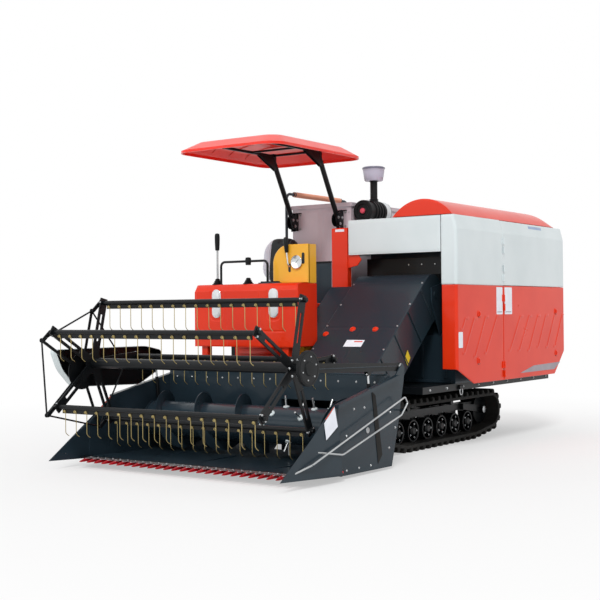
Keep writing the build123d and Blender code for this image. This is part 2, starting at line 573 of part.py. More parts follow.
def grain_elevator():
    """Upright grain auger tube behind the tank, with its head over the rim."""
    x, y = TANK_X[1] - 110.0, TANK_Y[1] + 120
    tube = rod((x, y, DECK_Z[1] + GAP), (x, y, 2190), 78)
    head = box((x - 80, x + 80), (TANK_Y[1] - 130, y + 60), (TANK_Z[1] + 20, TANK_Z[1] + 190))
    foot = box((x - 90, BODY_X[0] - GAP), (y - 90, y + 90), (DECK_Z[1] + GAP, 760))
    return fused([tube, head, foot])


# Engine and operator's place

def engine_block():
    """Engine, one plain block on its feet."""
    block = box(ENGINE_X, ENGINE_Y, (ENGINE_Z[0] + 40, ENGINE_Z[1]))
    feet = [box((x, x + 60), (y, y + 60), (DECK_Z[1] + GAP, ENGINE_Z[0] + 45))
            for x in (ENGINE_X[0], ENGINE_X[1] - 60) for y in (ENGINE_Y[0], ENGINE_Y[1] - 60)]
    return fused([block] + feet)


def engine_cover():
    """Sheet cover over the engine, open on the right behind the screen door."""
    low = DECK_Z[1] + GAP
    outer = box(HOOD_X, HOOD_Y, (low, HOOD_TOP_Z))
    inner = box((HOOD_X[0] - 10, HOOD_X[1] - HOOD_T), (HOOD_Y[0] + HOOD_T, HOOD_Y[1] - HOOD_T),
                (low - 10, HOOD_TOP_Z - HOOD_T))
    pieces = [outer - inner]
    for z in SCREEN_HINGE_ZS:
        pieces.append(rod((*SCREEN_HINGE, z), (*SCREEN_HINGE, z + 70), SCREEN_PIN_R))
        pieces.append(box((SCREEN_HINGE[0] - 6, HOOD_X[0] + 4), (HOOD_Y[1] - 2, SCREEN_HINGE[1] + 6), (z - 8, z)))
    return fused(pieces)


def screen_door():
    """Radiator screen door: a frame round a slotted screen, with eyes on the cover's hinge pins."""
    x = (HOOD_X[0] - RUN - SCREEN_T, HOOD_X[0] - RUN)
    y = (HOOD_Y[0] + 4, HOOD_Y[1] - 4)
    z = (DECK_Z[1] + 14, HOOD_TOP_Z - 6)
    frame = box(x, y, z) - box((x[0] - 1, x[1] + 1), (y[0] + 50, y[1] - 50), (z[0] + 50, z[1] - 50))
    screen = [frame]
    count = 14
    step = (z[1] - z[0] - 100) / count
    for k in range(count):
        low = z[0] + 50 + step * (k + 0.2)
        screen.append(box((x[0] + 10, x[0] + 16), (y[0] + 45, y[1] - 45), (low, low + step * 0.6)))
    door = fused(screen)
    for low in SCREEN_HINGE_ZS:
        eye = (low + 6, low + 60)
        tab = box((SCREEN_HINGE[0] - 4, SCREEN_HINGE[0] + 4), (y[1] - 2, SCREEN_HINGE[1]), eye)
        ring = rod((*SCREEN_HINGE, eye[0]), (*SCREEN_HINGE, eye[1]), SCREEN_PIN_R + 5)
        door = door.fuse(tab, ring) - rod((*SCREEN_HINGE, low), (*SCREEN_HINGE, low + 70), SCREEN_PIN_R + GAP)
    return door


def platform():
    """Operator's floor on struts, with the step at the right."""
    deck = box(FLOOR_X, FLOOR_Y, (FLOOR_Z - 14, FLOOR_Z))
    pieces = [deck]
    for x in (-900.0, -480.0, -60.0):
        pieces.append(box((x, x + 40), (DECK_FRONT_Y + 5, FLOOR_Y[1] - 5), (DECK_Z[1] + GAP, FLOOR_Z - 10)))
    step_x = (FLOOR_X[0] - 150, FLOOR_X[0] - 6)
    pieces.append(box(step_x, (1420, 1700), (380, 392)))
    for y in (1420.0, 1688.0):
        pieces.append(slab_y([(step_x[0], 380), (step_x[1], 380), (FLOOR_X[0] + 10, FLOOR_Z - 12),
                              (FLOOR_X[0] + 10, FLOOR_Z - 2), (step_x[1] - 20, FLOOR_Z - 2), (step_x[0], 400)],
                             (y, y + 12)))
    return fused(pieces)


def console():
    """Hollow front console on two stanchions, its top front edge cut off slanting."""
    outline = [(CONSOLE_Y[0], CONSOLE_Z[0]), (CONSOLE_Y[0], CONSOLE_Z[1] - 60), (CONSOLE_Y[0] + 40, CONSOLE_Z[1]),
               (CONSOLE_Y[1], CONSOLE_Z[1]), (CONSOLE_Y[1], CONSOLE_Z[0] + 60)]
    shell = slab_x(outline, CONSOLE_X)
    cavity = [(CONSOLE_Y[0] + CONSOLE_T, CONSOLE_Z[0] + CONSOLE_T), (CONSOLE_Y[0] + CONSOLE_T, CONSOLE_Z[1] - 66),
              (CONSOLE_Y[0] + 44, CONSOLE_Z[1] - CONSOLE_T), (CONSOLE_Y[1] + 5, CONSOLE_Z[1] - CONSOLE_T),
              (CONSOLE_Y[1] + 5, CONSOLE_Z[0] + 80)]
    pieces = [shell - slab_x(cavity, (CONSOLE_X[0] + CONSOLE_T, CONSOLE_X[1] - CONSOLE_T))]
    for x in (CONSOLE_X[0] + 60, CONSOLE_X[1] - 120):
        pieces.append(box((x, x + 60), (CONSOLE_Y[0] + 20, CONSOLE_Y[0] + 80), (FLOOR_Z + GAP, CONSOLE_Z[0] + 30)))
    return fused(pieces)


def console_rail():
    """Hand rail on the console with its knob, and the steering lever with its grip."""
    y = (CONSOLE_Y[0] + CONSOLE_Y[1]) / 2 + 10
    foot = CONSOLE_Z[1] + GAP
    rail = bent_rod([(-760, y, foot), (-760, y, 1592), (-270, y, 1592), (-270, y, foot)], 40, 10)
    knob = rod((-470, y, 1560), (-470, y, 1622), 22)
    lever = rod((-800, y, foot), (-792, y - 10, 1740), 8)
    grip = rod((-792, y - 10, 1700), (-786, y - 16, 1836), 17)
    return fused([rail, knob, lever, grip])


def side_console():
    """Control box beside the seat, with its curved front and round instrument."""
    y0, y1 = SIDE_Y
    body = Plane.YZ * make_face([Polyline((y1, FLOOR_Z + GAP), (y1, SIDE_TOP_Z), (y0 + 160, SIDE_TOP_Z)),
                                 ThreePointArc((y0 + 160, SIDE_TOP_Z), (y0 + 46, SIDE_TOP_Z - 60),
                                               (y0, SIDE_TOP_Z - 190)),
                                 Polyline((y0, SIDE_TOP_Z - 190), (y0, FLOOR_Z + GAP), (y1, FLOOR_Z + GAP))])
    solid = Pos(SIDE_X[0], 0, 0) * extrude(body, amount=SIDE_X[1] - SIDE_X[0], dir=(1, 0, 0))
    dial = rod((SIDE_X[0] + 75, y0 + 10, SIDE_TOP_Z - 110), (SIDE_X[0] + 75, y0 - 16, SIDE_TOP_Z - 110), 46)
    return fused([solid, dial])


def seat_cushion():
    """Seat cushion on a short pedestal."""
    x = (SEAT_X - SEAT_W / 2, SEAT_X + SEAT_W / 2)
    y = (SEAT_Y - SEAT_D / 2, SEAT_Y + SEAT_D / 2)
    cushion = fillet(box(x, y, (HOOD_TOP_Z + 60, HOOD_TOP_Z + 60 + SEAT_H)).edges(), 26)
    pedestal = box((SEAT_X - 130, SEAT_X + 130), (SEAT_Y - 130, SEAT_Y + 130), (HOOD_TOP_Z + GAP, HOOD_TOP_Z + 65))
    return fused([cushion, pedestal])


def seat_back():
    """Seat back, leaning to the rear, with round top corners."""
    low = HOOD_TOP_Z + 60 + SEAT_H + GAP + (BACK_T + 6) * sin(radians(BACK_LEAN))
    face = Plane.XZ * Pos(0, BACK_H / 2) * RectangleRounded(SEAT_W, BACK_H, 110)
    pad = extrude(face, amount=BACK_T, dir=(0, 1, 0))
    rear = SEAT_Y + SEAT_D / 2
    stay = box((SEAT_X - 60, SEAT_X + 60), (rear + 4, rear + 22), (HOOD_TOP_Z + GAP, low + 110))
    return fused([Pos(SEAT_X, rear - BACK_T + 10, low) * Rot(-BACK_LEAN, 0, 0) * pad, stay])


CANOPY_MID = ((CANOPY_X[0] + CANOPY_X[1]) / 2, (CANOPY_Y[0] + CANOPY_Y[1]) / 2)
CANOPY_WIDE, CANOPY_DEEP = CANOPY_X[1] - CANOPY_X[0], CANOPY_Y[1] - CANOPY_Y[0]


def crowned(drop, inset):
    """The space under the roof's domed surface, lowered by a drop and smaller by an inset."""
    # columns: share of the size, share of the rise
    levels = ((1.0, 0.0), (0.8, 0.62), (0.45, 0.93), (0.2, 1.0))
    bodies = []
    for (size_a, rise_a), (size_b, rise_b) in zip(levels, levels[1:]):
        faces = []
        for size, rise in ((size_a, rise_a), (size_b, rise_b)):
            z = CANOPY_RIM_Z + rise * CANOPY_RISE - drop
            outline = RectangleRounded((CANOPY_WIDE - inset) * size, (CANOPY_DEEP - inset) * size, 150 * size)
            faces.append(Pos(*CANOPY_MID, z) * outline)
        bodies.append(loft(faces, ruled=True))
    return fused(bodies)


def canopy():
    """Domed roof sheet: a crowned shell with a short skirt."""
    low = CANOPY_RIM_Z - CANOPY_T
    skirt = Pos(*CANOPY_MID, low) * extrude(RectangleRounded(CANOPY_WIDE, CANOPY_DEEP, 150), CANOPY_T)
    hollow = Pos(*CANOPY_MID, low - 1) * extrude(RectangleRounded(CANOPY_WIDE - 24, CANOPY_DEEP - 24, 138), 2)
    return fused([skirt, crowned(0.0, 0.0)]) - fused([hollow, crowned(CANOPY_T, 24.0)])


def canopy_frame():
    """Two leaning posts on cheek brackets, with gussets and the frame under the canopy."""
    pieces = []
    top_y, top_z = POST_TOP
    for x in POST_XS:
        pieces.append(flat_bar(POST_FOOT, POST_TOP, POST_D, (x - POST_W / 2, x + POST_W / 2)))
        for low in (x - POST_W / 2 - 8, x + POST_W / 2):
            cheek = disc_x(POST_FOOT[0], POST_FOOT[1] - 30, 62, (low, low + 8))
            pieces.append(cheek)
        pieces.append(box((x - 60, x + 60), (TANK_Y[0] - GAP - 8, TANK_Y[0] - GAP),
                          (POST_FOOT[1] - 110, POST_FOOT[1] + 60)))
        pieces.append(slab_x([(top_y + 40, top_z - 120), (top_y + 44, top_z + 8), (top_y - 220, top_z + 8),
                              (top_y - 220, top_z - 6)], (x - 5, x + 5)))
        pieces.append(box((x - 22, x + 22), (top_y - 700, top_y + 46), (top_z - 8, top_z + 22)))
    for y in (top_y - 700, top_y - 300, top_y + 6):
        pieces.append(box((POST_XS[0] - 20, POST_XS[1] + 20), (y, y + 36), (top_z - 8, top_z + 22)))
    under = crowned(CANOPY_T + GAP, 24.0)
    for x in POST_XS:
        for y in (top_y - 700, top_y + 6):
            pad = box((x - 18, x + 18), (y, y + 36), (top_z + 10, CANOPY_RIM_Z + CANOPY_RISE))
            pieces.append(pad & under)
    return fused(pieces)


def air_cleaner():
    """Ribbed drum of the air cleaner on its saddle."""
    x, z = CLEANER_X, CLEANER_Z
    y = (STEM_Y - CLEANER_AHEAD, STEM_Y + CLEANER_BEHIND)
    pieces = [rod((x, y[0], z), (x, y[1], z), CLEANER_R)]
    for k in range(4):
        pieces.append(rod((x, y[0] + 90 + 45 * k, z), (x, y[0] + 108 + 45 * k, z), CLEANER_R + 6))
    pieces.append(rod((x, y[0] - 14, z), (x, y[0] + 4, z), 24))
    pieces.append(rod((x, STEM_Y, z), (x, STEM_Y, z + CLEANER_R + 14), 44))
    pieces.append(box((TANK_X[1] + GAP, x + 20), (STEM_Y - 80, STEM_Y + 60), (z - 118, z - 80)))
    return fused(pieces)


def precleaner():
    """Pre-cleaner: stem, flared bowl and flat cap."""
    x, y, z = CLEANER_X, STEM_Y, CLEANER_Z + CLEANER_R + 14 + GAP
    stem = rod((x, y, z), (x, y, z + 176), 33)
    bowl = Pos(x, y, z + 176 + 55) * Cone(86, 100, 110)
    cap = rod((x, y, z + 286), (x, y, z + 308), 104)
    return fused([stem, bowl, cap])


def tank_handrail():
    """Bent hand rail beside the tank with a thick sleeve."""
    x = TANK_X[0] - 14 - GAP - 14
    rail = bent_rod([(x, 2380, 1500), (x, 2380, 2262), (x, 3420, 2262), (x, 3420, 2050)], 60, 13)
    sleeve = rod((x, 2500, 2262), (x, 3300, 2262), 24)
    feet = [box((x, TANK_X[0] - GAP), (3400, 3440), (2040, 2080)),
            box((x - 6, TANK_X[0] + 40), (2374, TANK_Y[0] - GAP), (1500, 1540))]
    return fused([rail, sleeve] + feet)


# Cutting table

FEED_SLOPE = atan2(PIVOT_Z - 330.0, PIVOT_Y - 1060.0)
TROUGH_R = AUGER_R + TROUGH_GAP
WALL_Y = AUGER_Y + TROUGH_R


def feeder_line(y, side_offset):
    """Height of the feeder's middle line, shifted square to its slope, at a place along Y."""
    return PIVOT_Z - (PIVOT_Y - y) * sin(FEED_SLOPE) / cos(FEED_SLOPE) + side_offset / cos(FEED_SLOPE)


def feeder_section(inset):
    """Outline of the feeder house: two parallel walls, round at the pivot end."""
    half = FEEDER_HALF - inset
    low_y = WALL_Y + SHEET_T + GAP - (0 if inset == 0 else 5)
    ny, nz = -sin(FEED_SLOPE) * half, cos(FEED_SLOPE) * half
    upper = (PIVOT_Y + ny, PIVOT_Z + nz)
    lower = (PIVOT_Y - ny, PIVOT_Z - nz)
    far = (PIVOT_Y + half * cos(FEED_SLOPE), PIVOT_Z + half * sin(FEED_SLOPE))
    lines = [Polyline(lower, (low_y, feeder_line(low_y, -half)), (low_y, feeder_line(low_y, half)), upper),
             ThreePointArc(upper, far, lower)]
    return Plane.YZ * make_face(lines)


def feeder_house():
    """Sloping conveyor house, open at the trough, on its pivot tube."""
    outer = Pos(FEEDER_X[0], 0, 0) * extrude(feeder_section(0), amount=FEEDER_X[1] - FEEDER_X[0], dir=(1, 0, 0))
    inner = Pos(FEEDER_X[0] + FEEDER_T, 0, 0) * extrude(
        feeder_section(FEEDER_T), amount=FEEDER_X[1] - FEEDER_X[0] - 2 * FEEDER_T, dir=(1, 0, 0))
    shell = outer - inner
    pivot = disc_x(PIVOT_Y, PIVOT_Z, PIVOT_R, (BODY_X[0] - 6, FEEDER_X[1] + RUN + 20))
    pieces = [shell, pivot]
    for x in LIFT_EAR_XS:
        y, z = LIFT_EYE
        top = [(at, feeder_line(at, -FEEDER_HALF) + 2) for at in (y - 40, y + 90)]
        pieces.append(slab_x([top[0], top[1], (y + 24, z - 8), (y, z - 24), (y - 24, z - 8)], (x, x + EAR_T)))
    pieces.append(disc_x(*LIFT_EYE, LIFT_PIN_R, (LIFT_EAR_XS[0] - 4, LIFT_EAR_XS[1] + EAR_T + 4)))
    return fused(pieces)


def trough_face(inset):
    """Region above the trough's floor: knife edge, floor, round part behind the auger and back wall."""
    r = TROUGH_R + inset
    floor_z = AUGER_Z - r
    a = radians(45)
    top = HEAD_TOP_Z + 50
    start = (-12.0, KNIFE_Z - 6 - inset)
    return Plane.YZ * make_face([
        Polyline((AUGER_Y, top), (start[0], top), start, (AUGER_Y - 260, floor_z), (AUGER_Y, floor_z)),
        ThreePointArc((AUGER_Y, floor_z), (AUGER_Y + r * sin(a), AUGER_Z - r * cos(a)), (AUGER_Y + r, AUGER_Z)),
        Polyline((AUGER_Y + r, AUGER_Z), (AUGER_Y + r, top), (AUGER_Y, top))])


def header_trough():
    """Sheet trough behind the knife, with its back wall, beams and the feeder's opening."""
    x0, x1 = -SIDE_IN_X + GAP, SIDE_IN_X - GAP
    outer = Pos(x0, 0, 0) * extrude(trough_face(SHEET_T), amount=x1 - x0, dir=(1, 0, 0))
    inner = Pos(x0 - 1, 0, 0) * extrude(trough_face(0), amount=x1 - x0 + 2, dir=(1, 0, 0))
    sheet = outer - inner
    sheet -= box((x0 - 1, x1 + 1), (-50, WALL_Y + 50), (HEAD_TOP_Z, HEAD_TOP_Z + 90))
    pieces = [sheet]
    back = WALL_Y + SHEET_T - 1
    pieces.append(box((x0, x1), (back, back + 76), (HEAD_TOP_Z - 76, HEAD_TOP_Z)))
    low_z = AUGER_Z - TROUGH_R - SHEET_T
    for x in ((x0, x0 + 60), (-480, -420), (FEEDER_X[0] - 60 - RUN, FEEDER_X[0] - RUN),
              (FEEDER_X[1] + RUN, FEEDER_X[1] + 60 + RUN), (x1 - 60, x1)):
        pieces.append(box(x, (back, back + 50), (AUGER_Z - 60, HEAD_TOP_Z - 70)))
    skid = [(120, low_z + 12), (120, low_z + 2), (300, 8), (640, 8), (700, low_z + 2), (700, low_z + 12)]
    trough = fused(pieces)
    mouth = (feeder_line(WALL_Y, -FEEDER_HALF + FEEDER_T), feeder_line(WALL_Y, FEEDER_HALF - FEEDER_T))
    opening = box((FEEDER_X[0] + FEEDER_T, FEEDER_X[1] - FEEDER_T), (AUGER_Y + 150, back + 40), mouth)
    trough -= opening
    for x in (-700.0, -200.0, 500.0):
        trough = trough.fuse(slab_x(skid, (x, x + 90)))
    return trough


def divider(side):
    """Side plate with its pointed nose, skid and crop rod."""
    plate_x = on_side(side, SIDE_IN_X, SIDE_IN_X + SIDE_T)
    outline = [(60, 50), (440, 26), (1080, 20), (1180, 330), (1264, 640), (1280, ARM_PIVOT_Z), (1250, ARM_PIVOT_Z + 30),
               (1210, ARM_PIVOT_Z), (1150, 690), (320, 526), (60, 330)]
    pieces = [slab_x(outline, plate_x) - disc_x(AUGER_Y, AUGER_Z, 22 + GAP, (plate_x[0] - 1, plate_x[1] + 1))]
    pieces.append(disc_x(ARM_PIVOT_Y, ARM_PIVOT_Z, ARM_PIN_R, on_side(side, ARM_X[0] - 4, SIDE_IN_X + 2)))
    pieces.append(disc_x(*REEL_BASE, REEL_PIN_R, on_side(side, ARM_X[0] + 2, SIDE_IN_X + 2)))
    x_in, x_ridge, x_out = SIDE_IN_X + 1, SIDE_IN_X + 14, SIDE_IN_X + 62
    tip = (side * (SIDE_IN_X + 19), -348.0, 73.0)
    base = [(side * x_in, 330.0, 42.0), (side * x_in, 330.0, 500.0), (side * x_ridge, 330.0, 526.0),
            (side * x_out, 330.0, 60.0), (side * x_out, 330.0, 42.0)]
    nose = hull_from_tip(tip, base)
    pieces.append(nose)
    rail = [(320, 500), (320, 526), (1150, 690), (1150, 664)]
    pieces.append(slab_x(rail, on_side(side, SIDE_IN_X, SIDE_IN_X + 40)))
    # the crop rod: columns x from the middle, y, z
    route = [(1061, -183, 113), (1104, -40, 157), (1116, 1167, 527), (1116, 1205, 480), (1116, 1114, 398),
             (1104, 332, 187), (1086, 150, 214), (1060, 60, 228)]
    pieces.append(bent_rod([(side * x, y, z) for x, y, z in route], CROP_ROD_R * 2.2, CROP_ROD_R))
    pieces.append(rod((side * (SIDE_IN_X + 4), 1150, 430.4), (side * 1115, 1150, 430.4), CROP_ROD_R - 1.5))
    return fused(pieces)


def hull_from_tip(tip, base):
    """A pyramid from a tip point to a flat base polygon."""
    points = [Vector(*p) for p in base]
    apex = Vector(*tip)
    if (points[1] - points[0]).cross(points[2] - points[1]).dot(apex - points[0]) < 0:
        points.reverse()             # the faces must look outwards
    faces = [Face(Wire.make_polygon(points, close=True))]
    for a, b in zip(points, points[1:] + points[:1]):
        faces.append(Face(Wire.make_polygon([a, b, apex], close=True)))
    return Solid(Shell(faces))


def cutter_bar():
    """Guard bar with its pointed guards."""
    z = KNIFE_Z - 1.0
    bar = box((-SIDE_IN_X + GAP, SIDE_IN_X - GAP), (-62, -12 - GAP), (z - 14, z))
    pieces = [bar]
    first = -GUARD_PITCH * (GUARD_COUNT - 1) / 2
    for k in range(GUARD_COUNT):
        x = first + GUARD_PITCH * k
        base = [(x - 15, -60.0, z - 14), (x + 15, -60.0, z - 14), (x + 11, -60.0, z), (x - 11, -60.0, z)]
        pieces.append(hull_from_tip((x, GUARD_TIP_Y, z - 1), base))
    return fused(pieces)


def knife():
    """Reciprocating knife: a row of triangular sections on a back strip."""
    half = (GUARD_COUNT - 1) / 2 * GUARD_PITCH
    points = [(half, -14 - GAP), (-half, -14 - GAP), (-half, -52)]
    for k in range(GUARD_COUNT - 1):
        x = -half + GUARD_PITCH * k
        points += [(x + 4, -52), (x + GUARD_PITCH / 2 - 6, -108), (x + GUARD_PITCH / 2 + 6, -108),
                   (x + GUARD_PITCH - 4, -52)]
    points.append((half, -52))
    return slab_z(points, (KNIFE_Z - 1 + GAP, KNIFE_Z + 3))


def flight(x_from, x_to, hand):
    """A screw flight as flat facets: the helix at its inner and outer edges, in equal turns."""
    steps = 14
    turns = abs(x_to - x_from) / FLIGHT_PITCH
    count = ceil(turns * steps)
    rings = []
    for k in range(count + 1):
        x = x_from + (x_to - x_from) * k / count
        angle = hand * 2 * pi * turns * k / count
        corners = []
        for radius, dx in ((AUGER_TUBE_R - 8, -0.5), (AUGER_R, -0.5), (AUGER_R, 0.5), (AUGER_TUBE_R - 8, 0.5)):
            corners.append(Vector(x + dx * FLIGHT_T, AUGER_Y + radius * cos(angle), AUGER_Z + radius * sin(angle)))
        rings.append(corners)
    faces = [Face(Wire.make_polygon(rings[0], close=True)), Face(Wire.make_polygon(rings[-1], close=True))]
    for a, b in zip(rings, rings[1:]):
        for i in range(4):
            j = (i + 1) % 4
            faces.append(Face(Wire.make_polygon([a[i], a[j], b[j]], close=True)))
            faces.append(Face(Wire.make_polygon([a[i], b[j], b[i]], close=True)))
    return Solid(Shell(faces))


def auger():
    """Cross auger: tube, two opposed flights and fingers before the feeder."""
    tube = disc_x(AUGER_Y, AUGER_Z, AUGER_TUBE_R, (-AUGER_END_X, AUGER_END_X))
    shaft = disc_x(AUGER_Y, AUGER_Z, 22, (-SIDE_IN_X - SIDE_T - 6, SIDE_IN_X + SIDE_T + 6))
    pieces = [tube, shaft, flight(-AUGER_END_X + 12, FEEDER_X[0] + 40, 1), flight(AUGER_END_X - 12, FEEDER_X[1] - 40, 1)]
    for k in range(8):
        x = FEEDER_X[0] + 110 + 68 * k
        angle = radians(137.5 * k)
        ny, nz = cos(angle), sin(angle)
        for sign in (1, -1):
            start = (x, AUGER_Y + sign * ny * (AUGER_TUBE_R - 6), AUGER_Z + sign * nz * (AUGER_TUBE_R - 6))
            end = (x, AUGER_Y + sign * ny * AUGER_R, AUGER_Z + sign * nz * AUGER_R)
            pieces.append(rod(start, end, 8))
    return fused(pieces)


# Reel

def bar_place(k):
    """(y, z) of the middle of tine bar k."""
    angle = radians(BAR_PHASE + 360 / BAR_COUNT * k)
    return HUB_Y - REEL_R * cos(angle), HUB_Z + REEL_R * sin(angle)


def reel():
    """Reel tube with a slotted spider at each end."""
    pieces = [disc_x(HUB_Y, HUB_Z, 38, (-SPIDER_X, SPIDER_X)),
              disc_x(HUB_Y, HUB_Z, SHAFT_R, (-ARM_X[1] + 3, ARM_X[1] - 3))]
    for side in (LEFT, RIGHT):
        x = on_side(side, SPIDER_X - SPIDER_T, SPIDER_X)
        pieces.append(disc_x(HUB_Y, HUB_Z, 80, x))
        for k in range(BAR_COUNT):
            y, z = bar_place(k)
            uy, uz = (y - HUB_Y) / REEL_R, (z - HUB_Z) / REEL_R
            start = (HUB_Y + uy * 50, HUB_Z + uz * 50)
            end = (y + uy * 34, z + uz * 34)
            arm = flat_bar(start, end, 68, x)
            slot = flat_bar((HUB_Y + uy * 170, HUB_Z + uz * 170), (y - uy * 90, z - uz * 90), 26, (x[0] - 1, x[1] + 1))
            eye = disc_x(y, z, BAR_R + GAP, (x[0] - 1, x[1] + 1))
            pieces.append(arm - slot - eye)
    return fused(pieces)


def tine_bar(k):
    """A tube with its row of spring tines, which hang straight down, and the crank at its right end."""
    y, z = bar_place(k)
    pieces = [disc_x(y, z, BAR_R, (-BAR_END_X, BAR_END_X))]
    span = 2 * (SPIDER_X - 70)
    for i in range(TINE_COUNT):
        x = -span / 2 + span * i / (TINE_COUNT - 1)
        coil = Plane.YZ.offset(x - 16) * Pos(y, z) * RegularPolygon(BAR_R + 9, 8)
        pieces.append(extrude(coil, amount=32, dir=(1, 0, 0)))
        top, knee = z - BAR_R - 2, z - TINE_DROP + TINE_HOOK
        pieces.append(wire_leg((x, y, top), (x, y, knee - 2)))
        pieces.append(wire_leg((x, y, knee), (x, y + TINE_HOOK * 0.8, z - TINE_DROP)))
    crank_x = (-BAR_END_X - 7, -BAR_END_X + 4)
    pieces.append(flat_bar((y, z), (y + ECC_DY, z + ECC_DZ), 30, crank_x))
    pieces.append(disc_x(y + ECC_DY, z + ECC_DZ, 6, (crank_x[0] - 16, crank_x[0] + 2)))
    return fused(pieces)


def wire_leg(start, end):
    """A straight stretch of tine wire with a six-sided section."""
    a, b = Vector(*start), Vector(*end)
    face = Plane(origin=a, z_dir=b - a, x_dir=(1, 0, 0)) * RegularPolygon(TINE_R, 6)
    return extrude(face, amount=(b - a).length, dir=b - a)


ECC_X = (-BAR_END_X - 21, -BAR_END_X - 13)


def eccentric_spider():
    """Five thin spokes and a ring of rods, turning about an axis set forward and below the hub."""
    cy, cz = HUB_Y + ECC_DY, HUB_Z + ECC_DZ
    ring = disc_x(cy, cz, ECC_RING[1], ECC_X) - disc_x(cy, cz, ECC_RING[0], (ECC_X[0] - 1, ECC_X[1] + 1))
    pieces = [ring]
    eyes = [(y + ECC_DY, z + ECC_DZ) for y, z in map(bar_place, range(BAR_COUNT))]
    for k, (y, z) in enumerate(eyes):
        uy, uz = (y - cy) / REEL_R, (z - cz) / REEL_R
        pieces.append(flat_bar((cy + uy * (ECC_RING[1] - 8), cz + uz * (ECC_RING[1] - 8)), (y, z), 22, ECC_X))
        pieces.append(disc_x(y, z, 16, ECC_X))
        ny, nz = eyes[(k + 1) % BAR_COUNT]
        middle = (ECC_X[0] + ECC_X[1]) / 2
        pieces.append(rod((middle, y, z), (middle, ny, nz), 3.9))
    spider = fused(pieces)
    for y, z in eyes:
        spider -= disc_x(y, z, 6 + GAP, (ECC_X[0] - 1, ECC_X[1] + 1))
    return spider


def reel_arms():
    """Two arms, the cross tube that joins them, hub bearings and the drive cover at the left end."""
    pieces = []
    for side in (LEFT, RIGHT):
        x = on_side(side, *ARM_X)
        outline = [(HUB_Y - 10, HUB_Z - 34), (HUB_Y - 10, HUB_Z + 34), (ARM_PIVOT_Y + 10, ARM_PIVOT_Z + ARM_H / 2),
                   (ARM_PIVOT_Y + 10, ARM_PIVOT_Z - ARM_H / 2)]
        pieces.append(slab_x(outline, x))
        pieces.append(disc_x(HUB_Y, HUB_Z, 56, x))
        pieces.append(disc_x(ARM_PIVOT_Y, ARM_PIVOT_Z, 34, x))
        for x_low in (ARM_X[0], ARM_X[1] - 6):
            y, z = REEL_EYE
            lug = [(y - 40, z + 46), (y + 40, z + 44), (y + 16, z - 10), (y - 16, z - 10)]
            pieces.append(slab_x(lug, on_side(side, x_low, x_low + 6)))
        pieces.append(disc_x(*REEL_EYE, REEL_PIN_R, on_side(side, ARM_X[0] + 1, ARM_X[1] - 1)))
    tie = (ARM_PIVOT_Y - 125, ARM_PIVOT_Z + 6)
    pieces.append(disc_x(*tie, 17, (-ARM_X[0] - 5, ARM_X[0] + 5)))
    pieces.append(disc_x(HUB_Y, HUB_Z, 118, (ARM_X[1] - 2, ARM_X[1] + 24)))
    pieces.append(disc_x(HUB_Y + ECC_DY, HUB_Z + ECC_DZ, ECC_RING[0] - GAP, (-ARM_X[0] - 2, ECC_X[1])))
    arms = fused(pieces)
    for side in (LEFT, RIGHT):
        arms -= disc_x(HUB_Y, HUB_Z, SHAFT_R + GAP, on_side(side, -ECC_X[1] - 10, ARM_X[1] + 12))
        arms -= disc_x(ARM_PIVOT_Y, ARM_PIVOT_Z, ARM_PIN_R + GAP, on_side(side, ARM_X[0] - 1, ARM_X[1] + 1))
    return arms


def along(start, end, distance, x):
    """The point at a distance from one (y, z) place towards another, at an x."""
    share = distance / hypot(end[0] - start[0], end[1] - start[1])
    return x, start[0] + (end[0] - start[0]) * share, start[1] + (end[1] - start[1]) * share


def cylinder_tube(base, eye, neck, length, outer, bore, pin, x):
    """A cylinder's tube behind its base eye and neck, bored for the rod."""
    half = outer * 0.55
    tube = rod(along(base, eye, neck, x), along(base, eye, length, x), outer)
    neck_bar = rod(along(base, eye, pin, x), along(base, eye, neck + 1, x), half * 0.8)
    whole = fused([tube, neck_bar, disc_x(*base, pin + 8, (x - half, x + half))])
    bored = rod(along(base, eye, max(neck + 6, pin + 14), x), along(base, eye, length + 5, x), bore)
    return whole - bored - disc_x(*base, pin + GAP, (x - outer, x + outer))


def cylinder_rod(base, eye, length, radius, pin, x):
    """A cylinder's rod, from inside the tube to its eye."""
    half = radius * 0.8
    stem = rod(along(eye, base, pin, x), along(eye, base, length, x), radius)
    ring = disc_x(*eye, pin + EYE_PLAY + EYE_WALL, (x - half, x + half))
    return fused([stem, ring]) - disc_x(*eye, pin + EYE_PLAY, (x - radius, x + radius))


def lift_barrel():
    """Tube of the table's lift cylinder."""
    return cylinder_tube(LIFT_BASE, LIFT_EYE, LIFT_NECK, LIFT_TUBE_L, LIFT_TUBE_R, LIFT_ROD_R + GAP, LIFT_PIN_R,
                         LIFT_X)


def lift_rod():
    """Rod of the table's lift cylinder."""
    return cylinder_rod(LIFT_BASE, LIFT_EYE, LIFT_ROD_L, LIFT_ROD_R, LIFT_PIN_R, LIFT_X)


def reel_barrels():
    """Tubes of the two reel lift cylinders."""
    return Compound(children=[
        cylinder_tube(REEL_BASE, REEL_EYE, REEL_NECK, REEL_TUBE_L, REEL_TUBE_R, REEL_ROD_R + GAP, REEL_PIN_R,
                      side * REEL_CYL_X)
        for side in (LEFT, RIGHT)])


def reel_rods():
    """Rods of the two reel lift cylinders."""
    return Compound(children=[
        cylinder_rod(REEL_BASE, REEL_EYE, REEL_ROD_L, REEL_ROD_R, REEL_PIN_R, side * REEL_CYL_X)
        for side in (LEFT, RIGHT)])


